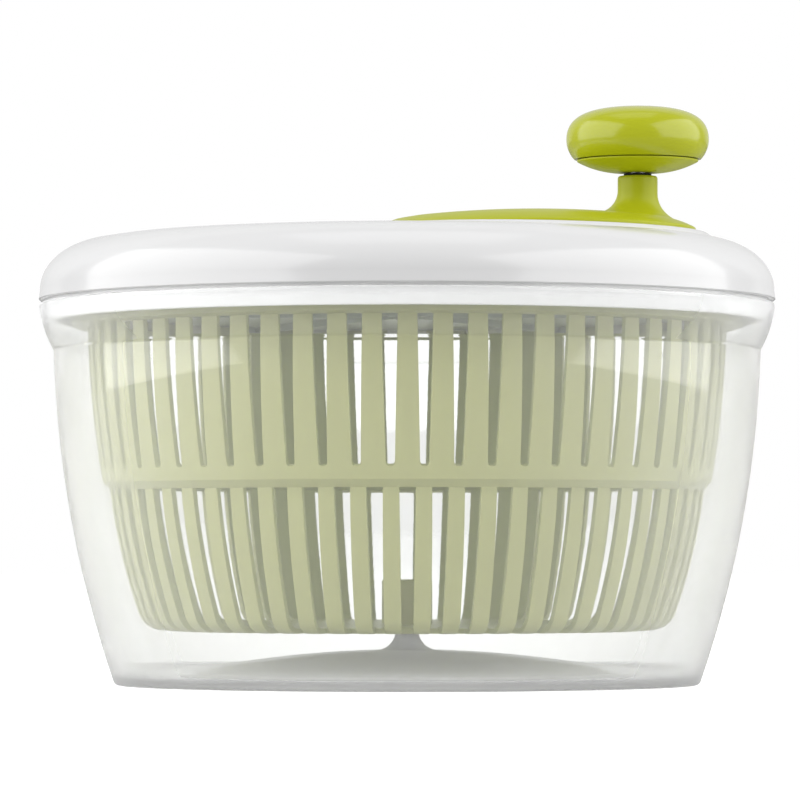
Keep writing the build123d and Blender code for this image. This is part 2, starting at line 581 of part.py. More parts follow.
with BuildPart() as pivot_sleeve:
    disc(HORN_TOP_Z, SLEEVE_RADIUS, SLEEVE_TOP_Z - HORN_TOP_Z)
    disc(BEAD_Z - SNAP_BEAD_HEIGHT / 2, SLEEVE_RADIUS + SNAP_BEAD, SNAP_BEAD_HEIGHT)
    disc(HORN_TOP_Z, SLEEVE_BORE, SLEEVE_ROOF_Z - HORN_TOP_Z, Mode.SUBTRACT)
    fillet(rings(pivot_sleeve, SLEEVE_RADIUS, SLEEVE_TOP_Z), SLEEVE_WALL / 2)
write(pivot_sleeve, "pivot_sleeve")

# ----------------------------------------------------------------------- lid
with BuildPart() as lid_cover:
    with BuildSketch(Plane.XZ):
        with BuildLine():
            lid_outline(0)
        make_face()
    revolve(axis=Axis.Z)

    # Mound around the crank's disc, leaning with the crown
    with BuildSketch(MOUND_SECTION):
        with BuildLine():
            Line((0, 0), (MOUND_RADIUS - MOUND_CORNER, 0))
            TangentArc(
                (MOUND_RADIUS - MOUND_CORNER, 0),
                (
                    MOUND_RADIUS + MOUND_CORNER * cos(radians(MOUND_SLOPE)),
                    -MOUND_CORNER * sin(radians(MOUND_SLOPE)),
                ),
                tangent=(1, 0),
            )
            Polyline(
                (
                    MOUND_RADIUS + MOUND_CORNER * cos(radians(MOUND_SLOPE)),
                    -MOUND_CORNER * sin(radians(MOUND_SLOPE)),
                ),
                (MOUND_FOOT_RADIUS, -MOUND_HEIGHT),
                (0, -MOUND_HEIGHT),
                (0, 0),
            )
        make_face()
    revolve(axis=MOUND_AXIS)

    # Hollow inside
    with BuildSketch(Plane.XZ):
        with BuildLine():
            lid_outline(LID_WALL)
        make_face()
    revolve(axis=Axis.Z, mode=Mode.SUBTRACT)

    # Well for the disc, with the seats of the two upper bushes
    well_wall_top_z = MOUND_LOW_Z - LID_WALL / 8
    well_wall_height = well_wall_top_z - WELL_UNDERSIDE_Z
    disc(WELL_UNDERSIDE_Z, WELL_RADIUS + WELL_WALL, well_wall_height, x=CRANK_OFFSET)
    disc(BOSS_BOTTOM_Z, BUSH_SEAT + BOSS_WALL, BUSH_BOSS_DEPTH, x=CRANK_OFFSET)
    disc(BOSS_BOTTOM_Z, JOURNAL_SEAT + BOSS_WALL, BUSH_BOSS_DEPTH)
    disc(WELL_FLOOR_Z, WELL_RADIUS, 2 * WELL_DEPTH, Mode.SUBTRACT, x=CRANK_OFFSET)
    disc(BOSS_BOTTOM_Z, BUSH_SEAT, WELL_FLOOR_Z - BOSS_BOTTOM_Z, Mode.SUBTRACT, x=CRANK_OFFSET)
    disc(BOSS_BOTTOM_Z, JOURNAL_SEAT, JOURNAL_POCKET_Z - BOSS_BOTTOM_Z, Mode.SUBTRACT)

    # Ledge that sits on the bowl's rim, and the skirt inside the collar
    with BuildSketch(Plane.XZ):
        with BuildLine():
            Polyline(
                (SKIRT_INNER, SKIRT_BOTTOM_Z),
                (SKIRT_RADIUS, SKIRT_BOTTOM_Z),
                (SKIRT_TOP_RADIUS, BOWL_HEIGHT),
                (EDGE_INNER, BOWL_HEIGHT),
                (EDGE_INNER, LEDGE_TOP_Z),
                (SKIRT_INNER, LEDGE_TOP_Z),
                close=True,
            )
        make_face()
    revolve(axis=Axis.Z)

    # Bosses for the gear cover's screws
    screw_boss_height = SHOULDER_Z - LID_WALL / 2 - COVER_TOP_Z
    with Locations((0, 0, COVER_TOP_Z)):
        with PolarLocations(SCREW_RING, SCREW_COUNT, start_angle=180 / SCREW_COUNT):
            Cylinder(
                SCREW_BOSS_RADIUS,
                screw_boss_height,
                align=(Align.CENTER, Align.CENTER, Align.MIN),
            )
            Cylinder(
                SCREW_RADIUS + SEAT_FIT,
                SCREW_LENGTH - COVER_THICKNESS + FIXING_POINT_GAP,
                align=(Align.CENTER, Align.CENTER, Align.MIN),
                mode=Mode.SUBTRACT,
            )
write(lid_cover, "lid_cover")

with BuildPart() as gear_cover:
    disc(COVER_BOTTOM_Z, COVER_RADIUS, COVER_THICKNESS)
    disc(COVER_BOTTOM_Z - COVER_LIP, COVER_RADIUS, COVER_LIP)
    disc(COVER_BOTTOM_Z - COVER_LIP, COVER_RADIUS - COVER_THICKNESS, COVER_LIP, Mode.SUBTRACT)
    with Locations((0, 0, COVER_BOTTOM_Z)):
        with PolarLocations(COVER_RADIUS / 2, COVER_RIBS, start_angle=180 / COVER_RIBS):
            Box(
                COVER_RADIUS - 2 * COVER_THICKNESS,
                RIB_WALL,
                COVER_RIB_DEPTH,
                align=(Align.CENTER, Align.CENTER, Align.MAX),
            )
    disc(COVER_BOSS_Z, JOURNAL_SEAT + BOSS_WALL, COVER_BOSS_DEPTH)
    disc(COVER_BOSS_Z, JOURNAL_SEAT, COVER_THICKNESS + COVER_BOSS_DEPTH, Mode.SUBTRACT)
    with Locations((0, 0, COVER_BOTTOM_Z)):
        with PolarLocations(SCREW_RING, SCREW_COUNT, start_angle=180 / SCREW_COUNT):
            Cylinder(
                SCREW_RADIUS + SEAT_FIT,
                COVER_THICKNESS,
                align=(Align.CENTER, Align.CENTER, Align.MIN),
                mode=Mode.SUBTRACT,
            )
write(gear_cover, "gear_cover")

with BuildPart() as cover_screws:
    with Locations((0, 0, COVER_BOTTOM_Z)):
        with PolarLocations(SCREW_RING, SCREW_COUNT, start_angle=180 / SCREW_COUNT):
            Cylinder(
                SCREW_HEAD_RADIUS,
                SCREW_HEAD,
                align=(Align.CENTER, Align.CENTER, Align.MAX),
            )
            Cylinder(
                SCREW_RADIUS,
                SCREW_LENGTH,
                align=(Align.CENTER, Align.CENTER, Align.MIN),
            )
    with Locations((0, 0, COVER_BOTTOM_Z - SCREW_HEAD)):
        with PolarLocations(SCREW_RING, SCREW_COUNT, start_angle=180 / SCREW_COUNT):
            for size in ((1.2 * SCREW_HEAD_RADIUS, CROSS_WIDTH), (CROSS_WIDTH, 1.2 * SCREW_HEAD_RADIUS)):
                Box(
                    *size,
                    CROSS_SHARE * SCREW_HEAD,
                    align=(Align.CENTER, Align.CENTER, Align.MIN),
                    mode=Mode.SUBTRACT,
                )
write(cover_screws, "cover_screws")

with BuildPart() as crank_bush:
    disc(BOSS_BOTTOM_Z, BUSH_RADIUS, WELL_FLOOR_Z - BOSS_BOTTOM_Z, x=CRANK_OFFSET)
    disc(WELL_FLOOR_Z, BUSH_RADIUS + BUSH_FLANGE_WIDTH, BUSH_FLANGE, x=CRANK_OFFSET)
    bush_height = WELL_FLOOR_Z + BUSH_FLANGE - BOSS_BOTTOM_Z
    disc(BOSS_BOTTOM_Z, BUSH_BORE, bush_height, Mode.SUBTRACT, x=CRANK_OFFSET)
write(crank_bush, "crank_bush")

with BuildPart() as pinion_bush:
    disc(BOSS_BOTTOM_Z, JOURNAL_BUSH_RADIUS, JOURNAL_POCKET_Z - BOSS_BOTTOM_Z)
    disc(BOSS_BOTTOM_Z, JOURNAL_BORE, JOURNAL_POCKET_Z - BOSS_BOTTOM_Z, Mode.SUBTRACT)
write(pinion_bush, "pinion_bush")

with BuildPart() as spindle_bush:
    disc(COVER_BOSS_Z, JOURNAL_BUSH_RADIUS, COVER_TOP_Z - COVER_BOSS_Z)
    disc(COVER_TOP_Z, JOURNAL_BUSH_RADIUS + BUSH_FLANGE_WIDTH, BUSH_FLANGE)
    disc(COVER_BOSS_Z, JOURNAL_BORE, COVER_TOP_Z + BUSH_FLANGE - COVER_BOSS_Z, Mode.SUBTRACT)
write(spindle_bush, "spindle_bush")

# --------------------------------------------------------------------- crank
with BuildPart() as disc_rib:
    rib_top_z = DISC_TOP_Z - DISC_WALL / 2
    rib_edge_z = DISC_RIM_Z - DISC_WALL / 2
    rib_foot_z = WELL_FLOOR_Z + RIB_LIFT
    with BuildSketch(Plane.XZ):
        with BuildLine():
            TangentArc((0, rib_top_z), (DISC_CAP_RADIUS, DISC_CAP_Z - DISC_WALL / 2), tangent=(1, 0))
            Polyline(
                (DISC_CAP_RADIUS, DISC_CAP_Z - DISC_WALL / 2),
                (DISC_INNER_RADIUS, rib_edge_z),
                (DISC_INNER_RADIUS, rib_foot_z),
                (0, rib_foot_z),
                (0, rib_top_z),
            )
        make_face()
    extrude(amount=RIB_WALL / 2, both=True)

with BuildPart(CRANK_PLANE) as crank_disc:
    with BuildSketch(CRANK_SECTION):
        with BuildLine():
            for sink in (0, DISC_WALL):
                TangentArc((0, DISC_TOP_Z - sink), (DISC_CAP_RADIUS, DISC_CAP_Z - sink), tangent=(1, 0))
                TangentArc(
                    (DISC_CAP_RADIUS, DISC_CAP_Z - sink),
                    (DISC_RADIUS - sink, DISC_RIM_Z - sink),
                    tangent=(DISC_SPHERE - DISC_CAP_DROP, -DISC_CAP_RADIUS),
                )
            Polyline(
                (DISC_RADIUS, DISC_RIM_Z),
                (DISC_RADIUS, DISC_SKIRT_Z),
                (DISC_INNER_RADIUS, DISC_SKIRT_Z),
                (DISC_INNER_RADIUS, DISC_RIM_Z - DISC_WALL),
            )
            Line((0, DISC_TOP_Z - DISC_WALL), (0, DISC_TOP_Z))
        make_face()
    revolve(axis=CRANK_AXIS)
    fillet(rings(crank_disc, DISC_RADIUS, DISC_RIM_Z), DISC_WALL / 2)

    # Ribs, hub with its thrust collar, and the stub that turns the gear
    with PolarLocations(0, DISC_RIBS, start_angle=180 / DISC_RIBS):
        add(disc_rib.part)
    disc(HUB_COLLAR_Z, HUB_RADIUS + HUB_COLLAR_WIDTH, DISC_TOP_Z - DISC_WALL / 2 - HUB_COLLAR_Z)
    disc(GEAR_TOP_Z, HUB_RADIUS, HUB_COLLAR_Z - GEAR_TOP_Z)
    with BuildSketch(CRANK_PLANE.offset(GEAR_BOTTOM_Z)):
        double_d(STUB_RADIUS, STUB_HALF_FLATS)
    extrude(amount=GEAR_FACE)
    disc(GEAR_BOTTOM_Z, FIXING_RADIUS + SEAT_FIT, FIXING_LENGTH, Mode.SUBTRACT)

    # Stem, flared where it grows out of the dome
    with BuildSketch(Plane((STEM_X, 0, DISC_RIM_Z))):
        Circle(STEM_RADIUS)
    extrude(amount=STEM_TOP_Z - DISC_RIM_Z)
    stem_foot = crank_disc.edges(Select.NEW).filter_by(
        lambda edge: STEM_FOOT_Z - DISC_WALL / 2 < edge.center().Z < STEM_TOP_Z - STEM_ROUND
        and edge.geom_type != GeomType.LINE
    )
    fillet(stem_foot, STEM_FLARE)
    fillet(rings(crank_disc, STEM_RADIUS, STEM_TOP_Z), STEM_ROUND)
    core_top_z = SPINDLE_BOTTOM_Z - STEM_CORE_ROOF
    disc(DISC_RIM_Z, STEM_CORE_RADIUS, core_top_z - DISC_RIM_Z, Mode.SUBTRACT, x=STEM_OFFSET)
    disc(SPINDLE_BOTTOM_Z, SPINDLE_RADIUS + SEAT_FIT, SPINDLE_SEAT, Mode.SUBTRACT, x=STEM_OFFSET)
write(crank_disc, "crank_disc")

with BuildPart(CRANK_PLANE) as drive_gear:
    with BuildSketch(CRANK_PLANE.offset(GEAR_BOTTOM_Z)):
        spur_gear(GEAR_TEETH)
    extrude(amount=GEAR_FACE)
    gear_hub_radius = STUB_RADIUS + GEAR_HUB_WALL
    web_radius = GEAR_PITCH_RADIUS - 1.25 * GEAR_MODULE - GEAR_RIM
    with BuildSketch(CRANK_PLANE.offset(GEAR_BOTTOM_Z)):
        Circle(web_radius)
        Circle(gear_hub_radius, mode=Mode.SUBTRACT)
    extrude(amount=GEAR_FACE - GEAR_WEB, mode=Mode.SUBTRACT)
    with BuildSketch(CRANK_PLANE.offset(GEAR_BOTTOM_Z)):
        with PolarLocations((web_radius + gear_hub_radius) / 2, GEAR_HOLES):
            Circle(GEAR_HOLE_RADIUS)
        double_d(STUB_RADIUS + SEAT_FIT, STUB_HALF_FLATS + SEAT_FIT)
    extrude(amount=GEAR_FACE, mode=Mode.SUBTRACT)
write(drive_gear, "drive_gear")


def make_fixing_screw(name, seat_z, x=0.0):
    """Write a screw driven upwards through the washer that lies on a seat."""
    with BuildPart() as screw:
        disc(seat_z - FIXING_STACK, FIXING_HEAD_RADIUS, FIXING_HEAD, x=x)
        disc(seat_z - FIXING_WASHER, FIXING_RADIUS, FIXING_LENGTH - FIXING_POINT_GAP, x=x)
        cross_recess(seat_z - FIXING_STACK, FIXING_HEAD_RADIUS, FIXING_HEAD, x=x)
    write(screw, name)


def make_washer(name, seat_z, x=0.0):
    """Write the washer under a fixing screw's head."""
    with BuildPart() as washer:
        disc(seat_z - FIXING_WASHER, FIXING_WASHER_RADIUS, FIXING_WASHER, x=x)
        disc(seat_z - FIXING_WASHER, FIXING_RADIUS + SEAT_FIT, FIXING_WASHER, Mode.SUBTRACT, x=x)
    write(washer, name)


make_fixing_screw("crank_screw", GEAR_BOTTOM_Z, CRANK_OFFSET)
make_washer("crank_washer", GEAR_BOTTOM_Z, CRANK_OFFSET)

# -------------------------------------------------------------- drive plate
with BuildPart() as pinion:
    with BuildSketch(Plane.XY.offset(PINION_BOTTOM_Z)):
        spur_gear(PINION_TEETH)
    extrude(amount=GEAR_TOP_Z - PINION_BOTTOM_Z)
    disc(GEAR_TOP_Z, JOURNAL_RADIUS, JOURNAL_POCKET_Z - END_PLAY - GEAR_TOP_Z)
    disc(PLATE_HUB_TOP_Z, JOURNAL_RADIUS, PINION_BOTTOM_Z - PLATE_HUB_TOP_Z)
    with BuildSketch(Plane.XY.offset(PLATE_BOTTOM_Z)):
        RegularPolygon(DRIVE_HALF_HEX, 6, major_radius=False)
    extrude(amount=PLATE_HUB_TOP_Z - PLATE_BOTTOM_Z)
    disc(PLATE_BOTTOM_Z, FIXING_RADIUS + SEAT_FIT, FIXING_LENGTH, Mode.SUBTRACT)
write(pinion, "pinion")

with BuildPart() as drive_plate:
    disc(PLATE_BOTTOM_Z, PLATE_RADIUS, PLATE_THICKNESS)
    disc(PLATE_BOTTOM_Z, PLATE_HUB_RADIUS, PLATE_HUB_TOP_Z - PLATE_BOTTOM_Z)
    rib_length = CROWN_INNER - LOOSE_FIT - PLATE_HUB_RADIUS
    with Locations((0, 0, PLATE_BOTTOM_Z)):
        with PolarLocations(PLATE_HUB_RADIUS + rib_length / 2, PLATE_RIBS):
            Box(
                rib_length,
                RIB_WALL,
                PLATE_RIB_DEPTH,
                align=(Align.CENTER, Align.CENTER, Align.MAX),
            )
        with PolarLocations((CROWN_INNER + CROWN_OUTER) / 2, LUG_COUNT):
            Box(
                CROWN_WIDTH,
                LUG_WIDTH,
                PLATE_BOTTOM_Z - LUG_BOTTOM_Z,
                align=(Align.CENTER, Align.CENTER, Align.MAX),
            )
    with BuildSketch(Plane.XY.offset(PLATE_BOTTOM_Z)):
        RegularPolygon(DRIVE_HALF_HEX + SEAT_FIT, 6, major_radius=False)
    extrude(amount=PLATE_HUB_TOP_Z - PLATE_BOTTOM_Z, mode=Mode.SUBTRACT)
write(drive_plate, "drive_plate")

make_fixing_screw("drive_screw", PLATE_BOTTOM_Z)
make_washer("drive_washer", PLATE_BOTTOM_Z)

# ---------------------------------------------------------------------- knob
with BuildPart() as knob_spindle:
    disc(SPINDLE_BOTTOM_Z, SPINDLE_RADIUS, SPINDLE_TOP_Z - SPINDLE_BOTTOM_Z, x=STEM_X)
    disc(CLIP_Z, SPINDLE_RADIUS + CLIP_GROOVE, CLIP_THICKNESS, Mode.SUBTRACT, x=STEM_X)
    disc(CLIP_Z, SPINDLE_RADIUS - CLIP_GROOVE, CLIP_THICKNESS, x=STEM_X)
    chamfer(rings(knob_spindle, SPINDLE_RADIUS, SPINDLE_TOP_Z), CLIP_GROOVE)
write(knob_spindle, "knob_spindle")

with BuildPart() as knob_clip:
    with BuildSketch(Plane((STEM_X, 0, CLIP_Z))):
        Circle(SPINDLE_RADIUS + CLIP_WIDTH)
        Circle(SPINDLE_RADIUS - CLIP_GROOVE + SEAT_FIT, mode=Mode.SUBTRACT)
        with Locations((SPINDLE_RADIUS, 0)):
            Rectangle(2 * SPINDLE_RADIUS, SPINDLE_RADIUS, mode=Mode.SUBTRACT)
    extrude(amount=CLIP_THICKNESS)
write(knob_clip, "knob_clip")

with BuildPart() as knob_washer:
    disc(STEM_TOP_Z, KNOB_BORE + NECK_WASHER_WIDTH, NECK_WASHER - END_PLAY, x=STEM_X)
    disc(STEM_TOP_Z, KNOB_BORE, NECK_WASHER, Mode.SUBTRACT, x=STEM_X)
write(knob_washer, "knob_washer")

with BuildPart() as knob_base:
    with BuildSketch(STEM_SECTION):
        with BuildLine():
            Line((KNOB_BORE, KNOB_BOTTOM_Z), (KNOB_SLEEVE_RADIUS, KNOB_BOTTOM_Z))
            TangentArc(
                (KNOB_SLEEVE_RADIUS, KNOB_BOTTOM_Z),
                (KNOB_BASE_RADIUS, KNOB_BASE_TOP_Z),
                tangent=(1, 0),
            )
            Polyline(
                (KNOB_BASE_RADIUS, KNOB_BASE_TOP_Z),
                (SNAP_RADIUS, KNOB_BASE_TOP_Z),
                (SNAP_RADIUS, SNAP_TOP_Z),
                (SNAP_RADIUS - SNAP_WALL, SNAP_TOP_Z),
                (SNAP_RADIUS - SNAP_WALL, KNOB_BASE_TOP_Z),
                (KNOB_SLEEVE_RADIUS, KNOB_BOTTOM_Z + KNOB_WALL),
                (KNOB_SLEEVE_RADIUS, KNOB_SLEEVE_Z),
                (KNOB_BORE, KNOB_SLEEVE_Z),
                (KNOB_BORE, KNOB_BOTTOM_Z),
            )
        make_face()
    revolve(axis=STEM_AXIS)
write(knob_base, "knob_base")

with BuildPart() as knob_cap:
    with BuildSketch(STEM_SECTION):
        with BuildLine():
            cap_edge = KNOB_RADIUS - KNOB_CAP_INSET
            girth_z = KNOB_BOTTOM_Z + KNOB_GIRTH_HEIGHT
            inner_radius = KNOB_RADIUS - KNOB_WALL
            inner_top_z = KNOB_TOP_Z - KNOB_WALL
            TangentArc((KNOB_RADIUS, girth_z), (cap_edge, CAP_BOTTOM_Z), tangent=(0, -1))
            Bezier(
                (KNOB_RADIUS, girth_z),
                (KNOB_RADIUS, girth_z + KNOB_CROWN_RISE),
                (KNOB_CROWN_REACH, KNOB_TOP_Z),
                (0, KNOB_TOP_Z),
            )
            Line((0, KNOB_TOP_Z), (0, inner_top_z))
            Bezier(
                (0, inner_top_z),
                (KNOB_CROWN_REACH - KNOB_WALL, inner_top_z),
                (inner_radius, girth_z + KNOB_CROWN_RISE - KNOB_WALL),
                (inner_radius, girth_z),
            )
            TangentArc(
                (inner_radius, girth_z), (cap_edge - KNOB_WALL / 2, SNAP_TOP_Z), tangent=(0, -1)
            )
            Polyline(
                (cap_edge - KNOB_WALL / 2, SNAP_TOP_Z),
                (SNAP_RADIUS + SEAT_FIT, SNAP_TOP_Z),
                (SNAP_RADIUS + SEAT_FIT, CAP_BOTTOM_Z),
                (cap_edge, CAP_BOTTOM_Z),
            )
        make_face()
    revolve(axis=STEM_AXIS)
write(knob_cap, "knob_cap")
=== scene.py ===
"""Looks of a hand-cranked salad spinner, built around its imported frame.

Sizes in the classes are millimetres, as a maker would draw them. Meshes are in
metres, +Z up, with the origin at the middle of the bowl's base.
"""

import logging
from collections.abc import Callable, Iterable, Sequence
from dataclasses import dataclass, field
from enum import Enum
from functools import cache
from math import acos, asin, atan, atan2, cos, hypot, pi, radians, sin, sqrt, tan

import bmesh
import bpy
from mathutils import Matrix, Vector


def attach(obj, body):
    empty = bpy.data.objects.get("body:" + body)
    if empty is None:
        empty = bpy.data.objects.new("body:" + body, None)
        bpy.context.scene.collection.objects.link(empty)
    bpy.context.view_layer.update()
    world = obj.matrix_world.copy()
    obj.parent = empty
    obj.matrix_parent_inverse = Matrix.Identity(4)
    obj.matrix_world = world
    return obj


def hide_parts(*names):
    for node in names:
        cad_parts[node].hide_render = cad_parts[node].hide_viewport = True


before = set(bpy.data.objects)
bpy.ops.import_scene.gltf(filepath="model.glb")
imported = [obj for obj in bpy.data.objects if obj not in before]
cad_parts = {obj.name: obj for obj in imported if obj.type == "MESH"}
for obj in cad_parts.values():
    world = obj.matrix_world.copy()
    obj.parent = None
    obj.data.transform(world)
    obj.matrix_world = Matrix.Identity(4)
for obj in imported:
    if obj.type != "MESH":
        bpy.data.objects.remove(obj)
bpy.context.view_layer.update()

MM = 0.001
LOG = logging.getLogger("salad_spinner")
Mesh = bmesh.types.BMesh
Vert = bmesh.types.BMVert
Loop = Sequence[Vert]
Point = tuple[float, float]
Colour = tuple[float, float, float]
Spot = tuple[float, float, float]
Height = Callable[[float, float], float]
Socket = bpy.types.NodeSocket
Node = bpy.types.Node
NodeTree = bpy.types.NodeTree
Material = bpy.types.Material
Object = bpy.types.Object

# Edges flatter than the first angle are shaded smooth, and faces of a frame node
# that meet at less than the second are one face.
SMOOTH = radians(32)
FLAT = radians(0.5)
# Points of a frame node, and of a drawn mesh, that lie closer are one point, in metres.
NODE_WELD = 0.000002
WELD = 0.000001
SLIVER = 0.0000001
# Columns of faces in each pitch of the basket's wall. The middle ones are the bar between
# two upper slots, and a lower slot.
LANES = 8
MIDDLE_LANES = range(2, 6)
# Widths of eased edges.
EASE = 0.3
FINE_EASE = 0.15
# Where the bowl's floor, foot and rim end, and how softly, in metres. The floor and the foot are
# painted darker, as painted shade.
FLOOR_EDGE = 0.087
FOOT_TOP = 0.003
RIM_FOOT = 0.1325
BAND_SOFT = 0.0015
# Scale of the slow drift in moulded plastic, and polish of its skin.
DRIFT_SIZE = 22.0
SKIN_ROUGHNESS = 0.04


# --- materials ---
@dataclass
class Graph:
    """A node tree being drawn up.

    Attributes:
        tree: The tree.
    """

    tree: NodeTree

    def feed(self, node: Node, inputs: dict) -> None:
        """Set some of a node's inputs.

        Args:
            node: The node.
            inputs: A number, a colour or another node's output for each, by name or place.
        """
        for name, value in inputs.items():
            if isinstance(value, Socket):
                self.tree.links.new(value, node.inputs[name])
                continue
            node.inputs[name].default_value = (*value, 1) if isinstance(value, tuple) else value

    def add(self, kind: str, inputs: dict | None = None, **settings: object) -> Node:
        """Add a node.

        Args:
            kind: Its type, without the words that all of them start with.
            inputs: What feed takes.
            settings: Its other settings.

        Returns:
            The new node.
        """
        node = self.tree.nodes.new(f"ShaderNode{kind}")
        for name, value in settings.items():
            setattr(node, name, value)
        self.feed(node, inputs or {})
        return node

    def math(self, operation: str, *values: float | Socket) -> Socket:
        """Give the result of a sum."""
        return self.add("Math", dict(enumerate(values)), operation=operation).outputs[0]

    def blend(self, share: Socket, first: Colour, second: Colour) -> Socket:
        """Give a colour between two others."""
        return self.add("Mix", {0: share, 6: first, 7: second}, data_type="RGBA").outputs[2]

    def mixed(self, share: float | Socket, first: Node, second: Node) -> Node:
        """Mix two shaders."""
        return self.add("MixShader", {0: share, 1: first.outputs[0], 2: second.outputs[0]})

    def finish(self, surface: Node) -> None:
        """Make a shader the material's surface."""
        self.feed(self.tree.nodes["Material Output"], {"Surface": surface.outputs[0]})


def start_group(name: str, inputs: dict[str, float], outputs: Iterable[str]) -> Graph:
    """Start a node group with its sockets.

    Args:
        name: Its name.
        inputs: Names of the inputs, and what they hold at first.
        outputs: Names of the outputs.

    Returns:
        The group's graph, with a node for its outputs.
    """
    tree = bpy.data.node_groups.new(name, "ShaderNodeTree")
    for label, value in inputs.items():
        socket = tree.interface.new_socket(label, in_out="INPUT", socket_type="NodeSocketFloat")
        socket.default_value = value
    for label in outputs:
        tree.interface.new_socket(label, in_out="OUTPUT", socket_type="NodeSocketFloat")
    tree.nodes.new("NodeGroupOutput")
    return Graph(tree)


@cache
def speckle_group() -> NodeTree:
    """Build, once, the group that gives moulded plastic its fine unevenness.

    Returns:
        A node group with a roughness and a tone that drift, and a height for a bump.
    """
    inputs = {"Size": 60.0, "Roughness": 0.2, "Drift": 0.05, "Grain": 900.0}
    graph = start_group("moulded unevenness", inputs, ("Roughness", "Height", "Tone"))
    entry = graph.tree.nodes.new("NodeGroupInput").outputs
    spot = graph.add("TexCoord").outputs["Object"]
    drift, grain = (
        graph.add("TexNoise", {"Vector": spot, "Scale": scale, "Detail": detail}).outputs["Fac"]
        for scale, detail in ((entry["Size"], 3.0), (entry["Grain"], 2.0))
    )
    centred = graph.math("SUBTRACT", drift, 0.5)
    rough = graph.math("MULTIPLY_ADD", centred, entry["Drift"], entry["Roughness"])
    leave = graph.tree.nodes["Group Output"]
    graph.feed(leave, {"Roughness": rough, "Height": grain, "Tone": drift})
    return graph.tree


@cache
def bands_group() -> NodeTree:
    """Build, once, the group that tells a bowl's floor and rim from its wall.

    Returns:
        A node group with a mask for the floor and foot, and one for the rim.
    """
    graph = start_group("floor shade and rim", {}, ("Floor shade", "Rim"))
    split = graph.add("SeparateXYZ", {0: graph.add("TexCoord").outputs["Object"]}).outputs
    flat = graph.add("CombineXYZ", {axis: split[axis] for axis in "XY"}).outputs[0]
    away = graph.add("VectorMath", {0: flat}, operation="LENGTH").outputs["Value"]
    edge, foot, rim = (
        graph.add("MapRange", {"Value": value, "From Min": start, "From Max": end}).outputs[0]
        for value, start, end in (
            (away, FLOOR_EDGE + BAND_SOFT, FLOOR_EDGE),
            (split["Z"], FOOT_TOP + BAND_SOFT, FOOT_TOP),
            (split["Z"], RIM_FOOT - BAND_SOFT, RIM_FOOT),
        )
    )
    leave = graph.tree.nodes["Group Output"]
    graph.feed(leave, {"Floor shade": graph.math("MAXIMUM", edge, foot), "Rim": rim})
    return graph.tree


def start_material(name: str) -> tuple[Material, Graph, Node]:
    """Start a material.

    Args:
        name: Its name.

    Returns:
        The material, its graph and its main shader.
    """
    material = bpy.data.materials.new(name)
    material.use_nodes = True
    graph = Graph(material.node_tree)
    return material, graph, graph.tree.nodes["Principled BSDF"]


@dataclass(frozen=True)
class Plastic:
    """Moulded plastic: a colour that drifts a little, with an even gloss.

    Attributes:
        name: Name of the material.
        light: Colour where the moulding is palest, linear.
        dark: Colour where it is deepest, linear.
        roughness: Mean roughness.
        drift: How much the roughness wanders.
        grain: Size of the finest texture, as a noise scale.
        relief: Depth of that texture, in metres.
        coat: Weight of the polished skin.
        gloss: Strength of the mirrored light.
    """

    name: str
    light: Colour
    dark: Colour
    roughness: float = 0.2
    drift: float = 0.06
    grain: float = 1400.0
    relief: float = 0.000004
    coat: float = 0.0
    gloss: float = 0.5

    @cache
    def build(self) -> Material:
        """Make the material, once.

        Returns:
            The finished material.
        """
        material, graph, shader = start_material(self.name)
        inputs = {"Size": DRIFT_SIZE, "Roughness": self.roughness}
        inputs |= {"Drift": self.drift, "Grain": self.grain}
        uneven = graph.add("Group", inputs, node_tree=speckle_group()).outputs
        bump = graph.add("Bump", {"Distance": self.relief, "Height": uneven["Height"]})
        graph.feed(
            shader,
            {
                "Base Color": self.colour(graph, uneven["Tone"]),
                "Roughness": uneven["Roughness"],
                "Normal": bump.outputs["Normal"],
                "Coat Weight": self.coat,
                "Coat Roughness": SKIN_ROUGHNESS,
                "Specular IOR Level": self.gloss,
            },
        )
        self.finish_off(graph, shader)
        return material

    def colour(self, graph: Graph, tone: Socket) -> Socket:
        """Give the colour that drifts between dark and light with the tone."""
        return graph.blend(tone, self.dark, self.light)

    def finish_off(self, graph: Graph, shader: Node) -> None:
        """Add what a special plastic has beyond the plain one."""


@dataclass(frozen=True)
class MilkyPlastic(Plastic):
    """Plastic that glows a little where light falls on its far side.

    Attributes:
        glow: Share of the light that passes through the wall.
        passed: Colour of the light that passes.
    """

    glow: float = 0.3
    passed: Colour = (0.78, 0.84, 0.58)

    def finish_off(self, graph: Graph, shader: Node) -> None:
        """Mix a translucent share into the shader."""
        through = graph.add("BsdfTranslucent", {"Color": self.passed})
        graph.finish(graph.mixed(self.glow, shader, through))


